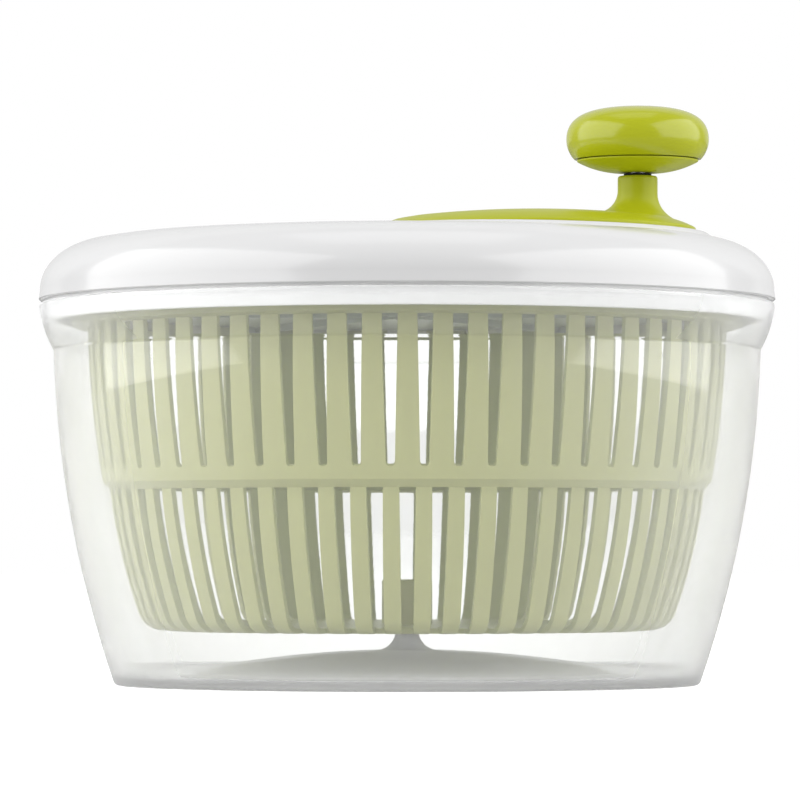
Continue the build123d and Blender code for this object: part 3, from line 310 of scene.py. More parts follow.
@dataclass(frozen=True)
class ClearPlastic(Plastic):
    """Polished clear plastic, a little hazy, that lets the lamps through.

    Its dark colour is painted shade: the floor and the foot are tinted grey to stand in for the
    shade that falls there.

    Attributes:
        ior: Refractive index.
        haze: Share of the light scattered where the wall is seen square on.
        rim_haze: Share that is added where it is seen edge on.
        edge_on: How far the edges reach towards the middle of the wall.
        veil: Colour of the scattered light.
        floor_shade_haze: Least share of scattered light in the floor and the foot, part of their
            painted shade.
        floor_shade_veil: Grey colour of that light, painted shade in the floor and the foot.
        rim_veil: Least share of scattered light in the rim.
    """

    ior: float = 1.57
    haze: float = 0.03
    rim_haze: float = 0.75
    edge_on: float = 0.35
    veil: Colour = (0.95, 0.95, 0.955)
    floor_shade_haze: float = 0.4
    floor_shade_veil: Colour = (0.85, 0.85, 0.86)
    rim_veil: float = 0.2

    def colour(self, graph: Graph, tone: Socket) -> Socket:
        """Give the clear colour, painted darker in the floor and the foot as painted shade."""
        bands = graph.add("Group", node_tree=bands_group()).outputs
        return graph.blend(bands["Floor shade"], self.light, self.dark)

    def finish_off(self, graph: Graph, shader: Node) -> None:
        """Turn the shader into clear plastic.

        Args:
            graph: The material's graph.
            shader: Its main shader.
        """
        graph.feed(shader, {"Transmission Weight": 1.0, "IOR": self.ior})
        bands = graph.add("Group", node_tree=bands_group()).outputs
        # In the floor and the foot the veil turns grey: painted shade.
        veil = graph.blend(bands["Floor shade"], self.veil, self.floor_shade_veil)
        front = graph.add("BsdfDiffuse", {"Color": veil})
        back = graph.add("BsdfTranslucent", {"Color": veil})
        facing = graph.add("LayerWeight", {"Blend": self.edge_on}).outputs["Facing"]
        share = graph.math("MULTIPLY_ADD", facing, self.rim_haze, self.haze)
        for mask, least in (("Floor shade", self.floor_shade_haze), ("Rim", self.rim_veil)):
            share = graph.math("MAXIMUM", share, graph.math("MULTIPLY", bands[mask], least))
        body = graph.mixed(share, shader, graph.mixed(0.5, front, back))
        clear = graph.add("BsdfTransparent", {"Color": self.light})
        shadow = graph.add("LightPath").outputs["Is Shadow Ray"]
        graph.finish(graph.mixed(shadow, body, clear))


@dataclass(frozen=True)
class TurnedSteel(Plastic):
    """Bright steel."""

    def finish_off(self, graph: Graph, shader: Node) -> None:
        """Make the shader a metal."""
        shader.inputs["Metallic"].default_value = 1.0


# The bowl's dark colour, a mid grey, is painted shade for its floor and foot.
CLEAR = ClearPlastic(
    "clear bowl plastic", (0.985, 0.99, 0.985), (0.38, 0.38, 0.38), 0.02, 0.02, relief=0.000001
)
CREAM_GREEN = MilkyPlastic(
    "pale green basket plastic", (0.5, 0.5, 0.25), (0.47, 0.47, 0.235), 0.3, 0.1, glow=0.35
)
WHITE = Plastic("white lid plastic", (0.8, 0.8, 0.8), (0.785, 0.785, 0.79), 0.18, 0.05, coat=0.2)
GREEN = Plastic(
    "green handle plastic", (0.48, 0.515, 0.009), (0.45, 0.485, 0.008), 0.2, 0.05, coat=0.12
)
GREEN_DISC = Plastic(
    "green disc plastic", (0.455, 0.49, 0.012), (0.425, 0.455, 0.01), 0.36, 0.05, gloss=0.25
)
# The knob's lower shell has the knob's green painted lighter: painted light that lifts the shade
# it sits in under the crown.
LIGHTENED_GREEN_DISH = Plastic(
    "green knob base plastic, painted lighter", (0.57, 0.61, 0.014), (0.54, 0.575, 0.013), 0.34, 0.05, gloss=0.25
)
GREY = Plastic("grey drive plastic", (0.46, 0.49, 0.46), (0.42, 0.45, 0.43), 0.4, 0.1, 700.0)
GEAR = Plastic("gear plastic", (0.82, 0.82, 0.78), (0.77, 0.77, 0.73), 0.38, 0.1, 700.0)
BEARING = Plastic("bearing plastic", (0.72, 0.72, 0.7), (0.66, 0.66, 0.65), 0.35, 0.1, 700.0)
# Near black for the washer under the knob; its black also paints the shade of the narrow gap
# there.
DARK_WASHER_AND_GAP_SHADE = Plastic(
    "dark washer plastic and gap shade", (0.012, 0.012, 0.012), (0.008, 0.008, 0.008), 0.6, 0.1, gloss=0.15
)
STEEL = TurnedSteel("turned steel", (0.62, 0.62, 0.62), (0.52, 0.52, 0.53), 0.28, 0.12)


# --- meshes ---
def link(name: str, data: bpy.types.ID) -> Object:
    """Make an object and link it to the scene.

    Args:
        name: Its name.
        data: What it shows.

    Returns:
        The object.
    """
    made = bpy.data.objects.new(name, data)
    bpy.context.scene.collection.objects.link(made)
    return made


def place(mesh: Mesh, name: str, finish: Plastic) -> Object:
    """Turn a bmesh into a shaded, dressed object.

    Args:
        mesh: The finished bmesh, in metres. It is freed.
        name: Name of the new object.
        finish: What the piece is made of.

    Returns:
        The new object, linked to the scene.
    """
    for face in mesh.faces:
        face.smooth = True
    for edge in mesh.edges:
        edge.smooth = edge.calc_face_angle(0.0) < SMOOTH
    data = bpy.data.meshes.new(name)
    mesh.to_mesh(data)
    mesh.free()
    data.materials.append(finish.build())
    LOG.info("%s, of %s", name, finish.name)
    return link(name, data)


def ease_edges(piece: Object, width: float, angle: float = SMOOTH) -> None:
    """Round a piece's edges.

    Args:
        piece: The piece.
        width: Width of the rounding.
        angle: Least angle of the edges that are rounded.
    """
    ease = piece.modifiers.new("eased edges", "BEVEL")
    ease.width = width * MM
    ease.segments = 2
    ease.limit_method = "ANGLE"
    ease.angle_limit = angle
    ease.harden_normals = True


def refined(node: str, finish: Plastic, bevel: float = 0.0) -> Object:
    """Copy a frame node, weld it, and ease its edges.

    Args:
        node: Name of the node, which the copy then stands for.
        finish: What the piece is made of.
        bevel: Width of the eased edges, or 0 for none.

    Returns:
        The dressed copy.
    """
    mesh = bmesh.new()
    mesh.from_mesh(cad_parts[node].data)
    bmesh.ops.remove_doubles(mesh, verts=mesh.verts, dist=NODE_WELD)
    flat = [e for e in mesh.edges if e.calc_face_angle(1.0) < FLAT]
    bmesh.ops.dissolve_edges(mesh, edges=flat, use_verts=False, use_face_split=False)
    piece = place(mesh, f"{node}_dressed", finish)
    if bevel:
        ease_edges(piece, bevel)
    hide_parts(node)
    return piece


def closed(mesh: Mesh) -> Mesh:
    """Merge a mesh's doubles and turn its faces outwards.

    Args:
        mesh: The mesh.

    Returns:
        The same mesh.
    """
    bmesh.ops.remove_doubles(mesh, verts=mesh.verts, dist=WELD)
    bmesh.ops.dissolve_degenerate(mesh, edges=mesh.edges, dist=SLIVER)
    bmesh.ops.recalc_face_normals(mesh, faces=mesh.faces)
    return mesh


def point(mesh: Mesh, x: float, y: float, z: float) -> Vert:
    """Add a point that is given in millimetres."""
    return mesh.verts.new((x * MM, y * MM, z * MM))


def arc(
    mesh: Mesh, r: float, z: float | Height, turns: Iterable[float], x: float = 0.0, y: float = 0.0
) -> list[Vert]:
    """Add a row of points round an upright axis.

    Args:
        mesh: The mesh being made.
        r: Radius.
        z: Height, or a function of place that gives it.
        turns: Angle of each point.
        x: Place of the axis along X.
        y: Place of the axis along Y.

    Returns:
        The row.
    """
    spots = [(x + r * cos(turn), y + r * sin(turn)) for turn in turns]
    return [point(mesh, px, py, z(px, py) if callable(z) else z) for px, py in spots]


def whole(steps: int) -> list[float]:
    """Give the angles of a whole turn."""
    return [2 * pi * step / steps for step in range(steps)]


def quarter(steps: int) -> list[float]:
    """Give the angles of a quarter turn, with its end."""
    return [radians(90 * step / steps) for step in range(steps + 1)]


def bridge(mesh: Mesh, one: Loop, two: Loop) -> None:
    """Join two closed loops of equal length by quads."""
    for quad in zip(one, one[1:] + one[:1], two[1:] + two[:1], two):
        mesh.faces.new(quad)


def loft(mesh: Mesh, loops: Sequence[Loop]) -> None:
    """Join closed loops that follow one another, and cap both ends.

    Args:
        mesh: The mesh being made.
        loops: Loops with equal numbers of points.
    """
    for one, two in zip(loops, loops[1:]):
        bridge(mesh, one, two)
    for end in (loops[0], loops[-1]):
        mesh.faces.new(end)


def on_arc(start: Point, end: Point, rise: float, share: float) -> Point:
    """Give a point on the arc between two points.

    Args:
        start: Start of the arc.
        end: End of the arc.
        rise: Swell to the right of the way from the start to the end.
        share: How far along the chord the point lies.

    Returns:
        The point.
    """
    chord = hypot(end[0] - start[0], end[1] - start[1])
    along = ((end[0] - start[0]) / chord, (end[1] - start[1]) / chord)
    radius = (chord**2 / 4 + rise**2) / (2 * rise)
    s = chord * (share - 0.5)
    lift = rise - radius + (1 if rise > 0 else -1) * sqrt(radius**2 - s**2)
    s += chord / 2
    return (
        start[0] + along[0] * s + along[1] * lift,
        start[1] + along[1] * s - along[0] * lift,
    )


@dataclass
class Section:
    """Half section of a turned piece, drawn as a chain of points.

    Attributes:
        points: Corners and the points of its curves.
        rounds: Corner radius at each point.
    """

    points: list[Point] = field(default_factory=list)
    rounds: list[float] = field(default_factory=list)

    def to(self, r: float, z: float, rounding: float = 0.0) -> "Section":
        """Go straight to a point.

        Args:
            r: Its radius.
            z: Its height.
            rounding: Radius of its corner's rounding.

        Returns:
            The section itself.
        """
        self.points.append((r, z))
        self.rounds.append(rounding)
        return self

    def back(self, other: "Section") -> None:
        """Go back along another section, from its last point but one."""
        for r, z in reversed(other.points[:-1]):
            self.to(r, z)

    def bow(self, end: Point, rise: float, steps: int = 14, rounding: float = 0.0) -> "Section":
        """Go to a point along an arc.

        Args:
            end: The end.
            rise: Swell to the right of the way from the start to the end.
            steps: Number of chords.
            rounding: Corner radius at the end.

        Returns:
            The section itself.
        """
        start = self.points[-1]
        for step in range(1, steps):
            self.to(*on_arc(start, end, rise, step / steps))
        return self.to(*end, rounding)

    def tangent(
        self, end: Point, way: Point, steps: int = 16, rounding: float = 0.0
    ) -> "Section":
        """Go to a point along an arc that leaves in a given direction.

        Args:
            end: The end.
            way: Direction in which the arc leaves.
            steps: Number of chords.
            rounding: Corner radius at the end.

        Returns:
            The section itself.
        """
        r, z = end[0] - self.points[-1][0], end[1] - self.points[-1][1]
        turn = atan2(way[0] * z - way[1] * r, way[0] * r + way[1] * z)
        return self.bow(end, hypot(r, z) / 2 * tan(turn / 2), steps, rounding)

    def bezier(self, a: Point, b: Point, end: Point, steps: int = 20) -> "Section":
        """Go to a point along a curve with two handles.

        Args:
            a: Handle of the start.
            b: Handle of the end.
            end: The end.
            steps: Number of chords.

        Returns:
            The section itself.
        """
        start = self.points[-1]
        for step in range(1, steps + 1):
            t = step / steps
            weights = ((1 - t) ** 3, 3 * t * (1 - t) ** 2, 3 * t**2 * (1 - t), t**3)
            ends = (start, a, b, end)
            self.to(*(sum(w * p[i] for w, p in zip(weights, ends)) for i in (0, 1)))
        return self

    def rounded(self, steps: int = 6) -> list[Point]:
        """Give the chain with its corners rounded.

        Args:
            steps: Number of chords in each rounded corner.

        Returns:
            The points, in order.
        """
        chain: list[Point] = []
        count = len(self.points)
        for i, (corner, radius) in enumerate(zip(self.points, self.rounds)):
            if not radius:
                chain.append(corner)
                continue
            here = Vector(corner)
            back = (Vector(self.points[(i - 1) % count]) - here).normalized()
            ahead = (Vector(self.points[(i + 1) % count]) - here).normalized()
            half = back.angle(ahead) / 2
            centre = here + (back + ahead).normalized() * radius / sin(half)
            first = here + back * radius / tan(half) - centre
            turn = first.angle_signed(here + ahead * radius / tan(half) - centre)
            for step in range(steps + 1):
                spot = centre + Matrix.Rotation(-turn * step / steps, 2) @ first
                chain.append((spot.x, spot.y))
        return chain

    def spun(self, steps: int, centre: float = 0.0) -> Mesh:
        """Spin the section about an upright axis.

        Args:
            steps: Facets round the piece.
            centre: Place of the axis along X.

        Returns:
            A closed bmesh.
        """
        mesh = bmesh.new()
        verts = [point(mesh, centre + r, 0, z) for r, z in self.rounded()]
        edges = [mesh.edges.new((a, b)) for a, b in zip(verts, verts[1:] + verts[:1])]
        bmesh.ops.spin(
            mesh,
            geom=verts + edges,
            cent=(centre * MM, 0, 0),
            axis=(0, 0, 1),
            angle=2 * pi,
            steps=steps,
            use_merge=True,
        )
        return closed(mesh)


def level(chain: list[Point], r: float) -> float:
    """Read the height of an outline at a radius.

    Args:
        chain: Outline whose radii grow.
        r: The radius.

    Returns:
        The height.
    """
    for (r0, z0), (r1, z1) in zip(chain, chain[1:]):
        if r <= r1:
            return z0 + (z1 - z0) * (r - r0) / (r1 - r0)
    return chain[-1][1]


@dataclass
class Skin:
    """A skin of rings that follow one another, each a circle seen from above.

    Attributes:
        steps: Points in each ring.
        mesh: The mesh being made.
        last: The newest ring.
    """

    steps: int = 256
    mesh: Mesh = field(default_factory=bmesh.new)
    last: list[Vert] = field(default_factory=list)

    def ring(self, r: float, z: float | Height, x: float = 0.0) -> list[Vert]:
        """Add a ring and join it to the one before.

        Args:
            r: Radius.
            z: Height, or a function of place that gives it.
            x: Place of the centre along X.

        Returns:
            The ring's vertices.
        """
        fresh = arc(self.mesh, r, z, whole(self.steps), x)
        if self.last:
            bridge(self.mesh, self.last, fresh)
        self.last = fresh
        return fresh

    def rings(self, chain: Iterable[Point], x: float = 0.0) -> None:
        """Add a ring for each point of a chain."""
        for r, z in chain:
            self.ring(r, z, x)

    def shift(self, z: float | Height, start: Point, end: Point, count: int) -> None:
        """Add rings whose radius and centre change evenly.

        Args:
            z: Height, or a function of place that gives it.
            start: Radius and centre of the ring that stands already.
            end: Radius and centre of the last one.
            count: Number of rings.
        """
        for i in range(1, count + 1):
            r, x = (a + (b - a) * i / count for a, b in zip(start, end))
            self.ring(r, z, x)

    def cap(self) -> None:
        """Close the newest ring by one face."""
        self.mesh.faces.new(self.last)
        self.last = []


# --- sub-assemblies ---
@dataclass
class Bowl:
    """The clear bowl with its flared collar, domed floor and pivot pin."""

    height: float = 134.5
    rim: float = 130.0
    wall_radius: float = 124.9
    base_radius: float = 103.1
    wall: float = 2.4
    swell: float = 4.6
    collar_z: float = 118.1
    collar_swell: float = 0.95
    collar_steps: int = 10
    collar_round: float = 2.5
    base_round: float = 2.0
    floor_round: float = 5.0
    rim_rounds: Point = (1.0, 0.6)
    dome_radius: float = 85.6
    dome: float = 9.4
    floor: float = 2.6
    horn: float = 4.1
    horn_flare: float = 6.8
    horn_height: float = 7.0
    horn_round: float = 0.3
    pin: float = 3.6
    pin_length: float = 14.0
    pin_tip: float = 1.2
    pin_round: float = 0.4
    facets: int = 256

    def section(self) -> Section:
        """Draw the half section.

        Returns:
            The bowl's section.
        """
        sphere = (self.dome_radius**2 + self.dome**2) / (2 * self.dome)
        top = self.floor + self.dome
        flare_radius = self.horn + self.horn_flare
        rise = sqrt((sphere + self.horn_flare) ** 2 - flare_radius**2)
        share = sphere / (sphere + self.horn_flare)
        foot = (flare_radius * share, top - sphere + rise * share)
        horn_top = top + self.horn_height
        tip = horn_top + self.pin_length
        inside, bend, steps = self.wall_radius - self.wall, self.collar_round, self.collar_steps
        drawn = Section().to(self.dome_radius, 0).to(self.base_radius, 0, self.base_round)
        drawn.bow((self.wall_radius, self.collar_z), self.swell, rounding=bend)
        drawn.bow((self.rim, self.height), self.collar_swell, steps, self.rim_rounds[0])
        drawn.to(self.rim - self.wall, self.height, self.rim_rounds[1])
        drawn.bow((inside, self.collar_z), -self.collar_swell, steps, bend)
        inside = self.base_radius - self.wall
        drawn.bow((inside, self.floor), -self.swell, rounding=self.floor_round)
        edge = (self.dome_radius, self.floor)
        drawn.to(*edge).back(Section().to(*foot).tangent(edge, (rise, -flare_radius)))
        drawn.back(Section().to(self.horn, top - sphere + rise).tangent(foot, (0, -1), steps=10))
        drawn.to(self.horn, horn_top, self.horn_round).to(self.pin, horn_top)
        drawn.to(self.pin, tip - self.pin_tip, self.pin_round)
        drawn.to(self.pin - self.pin_tip, tip, self.pin_round).to(0, tip)
        drawn.to(0, self.dome).tangent((self.dome_radius, 0), (1, 0))
        drawn.points.pop()
        drawn.rounds.pop()
        return drawn

    def build(self) -> None:
        """Spin the bowl and dress it."""
        bowl = place(self.section().spun(self.facets), "clear_bowl", CLEAR)
        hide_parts("bowl")
        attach(bowl, "bowl")


class Slot(Enum):
    """Which slots run between a row of the basket's wall and the next one down."""

    NONE = 0
    UPPER = 1
    LOWER = 2


@dataclass
class WallRow:
    """One row of points round the basket.

    Attributes:
        outer: Radius and height on the outside.
        inner: Radius and height on the inside.
        half: Half width of the slots here.
        lanes: Whose slots the points are spaced for.
        below: The slots that run from here to the next row.
    """

    outer: Point
    inner: Point
    half: float
    lanes: Slot
    below: Slot = Slot.NONE


@dataclass
class Basket:
    """The slotted basket and the bearing in its hub."""

    bottom: float = 19.3
    wall: float = 1.8
    foot: float = 92.4907
    ledge_z: float = 68.4
    ledge: float = 104.7907
    step: float = 2.7
    upper_top: float = 112.8907
    slot_top: float = 126.4
    slot_bottom: float = 75.2
    slot_rows: int = 8
    slot_ends: tuple[float, ...] = (60.0, 35.0)
    slot_rest: float = 1.0
    flange: float = 118.3907
    flange_z: float = 127.0
    flange_drop: float = 0.5
    top: float = 129.5
    corner: float = 8.0
    lower_bow: float = 1.7
    lower_rows: int = 8
    upper_bow: float = 1.0
    upper_wide: float = 2.675
    upper_narrow: float = 1.5
    lower_wide: float = 2.75
    lower_narrow: float = 2.0
    slot_reach: float = 10.7
    count: int = 60
    edge_angle: float = 40.0
    floor_rings: tuple[int, ...] = (36, 30, 18)
    floor_slot: float = 16.0
    floor_gap: float = 4.5
    floor_half: float = 1.5
    floor_edge: float = 0.8
    hub_bore: float = 5.3
    hub_wall: float = 3.6
    hub_ceiling: float = 35.2
    hub_top: float = 36.8
    hub_ease: float = 0.5
    hub_facets: int = 64
    bead: Point = (25.85, 28.05)
    bead_depth: float = 0.35
    crown: Point = (113.1407, 116.3407)
    crown_root: float = 0.2
    crown_top: float = 132.6
    crown_teeth: int = 24
    crown_gap: float = 15.0195
    mesh: Mesh = field(default_factory=bmesh.new)

    def rows(self) -> list[WallRow]:
        """List the rows of the wall, from the rim to the slots' ends under the floor.

        Returns:
            The rows.
        """
        inside = self.upper_top - self.wall
        drawn = [
            WallRow((self.flange, z), (inside, z), self.upper_wide, Slot.UPPER)
            for z in (self.top, self.flange_z)
        ]
        foot = (self.ledge + self.step, self.ledge_z + self.step)
        inner_foot = (foot[0] - self.wall, foot[1] + self.wall / 2)
        head_z = self.flange_z - self.flange_drop
        wide, narrow = self.upper_wide, self.upper_narrow
        round_z = self.slot_bottom + narrow
        places = []
        for i in range(self.slot_rows + 1):
            share = i / self.slot_rows
            z = self.slot_top - (self.slot_top - round_z) * share
            places.append((z, wide + (narrow - wide) * share))
        for turn in map(radians, self.slot_ends):
            places.append((round_z - narrow * cos(turn), narrow * sin(turn)))
        open_rows = len(places) - 1
        places += [(self.slot_bottom - self.slot_rest, narrow), (foot[1] + self.slot_rest, narrow)]
        for i, (z, half) in enumerate(places):
            share = (z - foot[1]) / (head_z - foot[1])
            outer = on_arc(foot, (self.upper_top, head_z), self.upper_bow, share)
            inner = on_arc(inner_foot, (inside, head_z), self.upper_bow, share)
            below = Slot.UPPER if i < open_rows else Slot.NONE
            drawn.append(WallRow(outer, inner, half, Slot.UPPER, below))
        drawn.append(WallRow(foot, inner_foot, self.lower_wide, Slot.LOWER))
        floor_z, steps = self.bottom + self.wall, self.lower_rows
        outer = Section().to(self.foot - self.slot_reach, self.bottom)
        outer.to(self.foot, self.bottom, self.corner)
        outer.bow((self.ledge, self.ledge_z), self.lower_bow, steps)
        inner = Section().to(self.foot - self.slot_reach, floor_z)
        inner.to(self.foot - self.wall, floor_z, self.corner - self.wall)
        ledge = (self.ledge - self.wall, self.ledge_z + self.wall / 2)
        inner.bow(ledge, self.lower_bow, steps)
        for one, two in reversed(list(zip(outer.rounded(), inner.rounded()))):
            rise = max(0.0, one[1] - floor_z) / (self.ledge_z - floor_z)
            half = self.lower_narrow + (self.lower_wide - self.lower_narrow) * rise
            drawn.append(WallRow(one, two, half, Slot.LOWER, Slot.LOWER))
        drawn[-1].below = Slot.NONE
        return drawn

    def shell(
        self, outer: list[Loop], inner: list[Loop], kept: Callable[[int, int], bool], joined: bool
    ) -> None:
        """Skin both sides of a pierced wall and close the edges of its slots.

        Args:
            outer: Rows of points on the outside.
            inner: The matching rows on the inside.
            kept: Whether a face stands, by its row and column.
            joined: Whether the first row meets another wall and stays open.
        """
        last, wide, face = len(outer) - 1, len(outer[0]), self.mesh.faces.new
        for i in range(last + 1):
            for j in range(wide):
                k = (j + 1) % wide
                here = i < last and kept(i, j)
                if here:
                    face((outer[i][j], outer[i][k], outer[i + 1][k], outer[i + 1][j]))
                    face((inner[i][j], inner[i + 1][j], inner[i + 1][k], inner[i][k]))
                above = kept(i - 1, j) if i else joined
                if above != (here or i == last):
                    face((outer[i][j], outer[i][k], inner[i][k], inner[i][j]))
                if i < last and kept(i, (j - 1) % wide) != here:
                    face((outer[i][j], outer[i + 1][j], inner[i + 1][j], inner[i][j]))

    def walls(self) -> list[Loop]:
        """Raise the pierced wall.

        Returns:
            The last rows of points, outside and inside.
        """
        rows = self.rows()
        pitch = 2 * pi / self.count
        outer, inner = [], []
        for row in rows:
            for side, (r, z) in ((outer, row.outer), (inner, row.inner)):
                edge = asin(row.half / r)
                if row.lanes is Slot.UPPER:
                    half = pitch / 2
                    lanes = (-half, -half + edge / 2, -half + edge, (edge - half) / 2)
                    lanes += (0.0, (half - edge) / 2, half - edge, half - edge / 2)
                else:
                    half = (pitch / 2 + edge) / 2
                    lanes = (-pitch / 2, -half, -edge, -edge / 2, 0.0, edge / 2, edge, half)
                turns = [lane + n * pitch for n in range(self.count) for lane in lanes]
                side.append(arc(self.mesh, r, z, turns))

        def kept(i: int, j: int) -> bool:
            """Tell whether a face lies beside the slots of its row."""
            middle = j % LANES in MIDDLE_LANES
            return {Slot.NONE: True, Slot.UPPER: middle, Slot.LOWER: not middle}[rows[i].below]

        self.shell(outer, inner, kept, False)
        return [outer[-1], inner[-1]]

    def ring(self, edge: float, count: int) -> tuple[list[Loop], list[Loop]]:
        """Lay one ring of floor slots.

        Args:
            edge: Outer radius of its slots.
            count: Number of slots.

        Returns:
            Outermost and innermost rows of points, each below and above.
        """
        pitch = 2 * pi / count
        below, above = [], []
        end = edge - self.floor_slot
        for r in (edge + self.floor_edge, edge, (edge + end) / 2, end, end - self.floor_edge):
            gap = asin(self.floor_half / r)
            turns = [n * pitch + t for n in range(count) for t in (-pitch / 2, -gap, 0.0, gap)]
            below.append(arc(self.mesh, r, self.bottom, turns))
            above.append(arc(self.mesh, r, self.bottom + self.wall, turns))

        def kept(i: int, j: int) -> bool:
            """Tell whether a face lies round the slots or between them."""
            return i in (0, 3) or j % 4 in (0, 3)

        self.shell(below, above, kept, True)
        return [below[0], above[0]], [below[-1], above[-1]]

    def zip_rings(self, one: Loop, two: Loop) -> None:
        """Join two rings that have different numbers of points.

        Args:
            one: A ring, counter-clockwise.
            two: The other ring, counter-clockwise.
        """
        both = []
        for ring in (one, two):
            turns = [atan2(v.co.y, v.co.x) % (2 * pi) for v in ring]
            start = turns.index(min(turns))
            turned = ring[start:] + ring[:start]
            both.append((turned + turned[:1], sorted(turns) + [min(turns) + 2 * pi]))
        (a, ta), (b, tb) = both
        i = j = 0
        while i < len(a) - 1 or j < len(b) - 1:
            if j == len(b) - 1 or (i < len(a) - 1 and ta[i + 1] <= tb[j + 1]):
                self.mesh.faces.new((a[i], a[i + 1], b[j]))
                i += 1
            else:
                self.mesh.faces.new((a[i], b[j + 1], b[j]))
                j += 1

    def hub(self) -> list[Loop]:
        """Turn the hub with the pocket for its bearing.

        Returns:
            The rings where it meets the floor, below and above.
        """
        skin = Skin(self.hub_facets, self.mesh)
        bore, outside = self.hub_bore, self.hub_bore + self.hub_wall
        above = skin.ring(outside, self.bottom + self.wall)
        skin.ring(outside, self.hub_top - self.hub_ease)
        skin.ring(outside - self.hub_ease, self.hub_top)
        skin.cap()
        below = skin.ring(outside, self.bottom)
        low, high = self.bead
        deep = bore + self.bead_depth
        skin.rings(((bore, self.bottom), (bore, low), (deep, low), (deep, high), (bore, high)))
        skin.ring(bore, self.hub_ceiling)
        skin.cap()
        return [below, above]

    def castle(self) -> None:
        """Stand the castellations on the rim."""
        pitch = 2 * pi / self.crown_teeth
        half = pitch / 2 - asin(self.crown_gap / sum(self.crown))
        foot, head = self.top - self.crown_root, self.crown_top
        low, high = self.crown
        for tooth in range(self.crown_teeth):
            middle = (tooth + 0.5) * pitch
            turns = [middle + half * (i / 2 - 1) for i in range(5)]
            corners = ((low, foot), (high, foot), (high, head), (low, head))
            rows = (arc(self.mesh, r, z, turns) for r, z in corners)
            loft(self.mesh, list(zip(*rows)))

    def build(self) -> None:
        """Build the basket, ease its edges, and dress its sleeve."""
        ends = self.walls()
        edge = self.foot - self.slot_reach - self.floor_gap
        for count in self.floor_rings:
            first, last = self.ring(edge, count)
            for one, two in zip(ends, first):
                self.zip_rings(one, two)
            ends = last
            edge -= self.floor_slot + self.floor_gap
        for one, two in zip(ends, self.hub()):
            self.zip_rings(one, two)
        self.castle()
        basket = place(closed(self.mesh), "slotted_basket", CREAM_GREEN)
        ease_edges(basket, EASE, radians(self.edge_angle))
        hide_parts("basket")
        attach(basket, "basket")
        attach(refined("pivot_sleeve", BEARING), "basket_bearing")


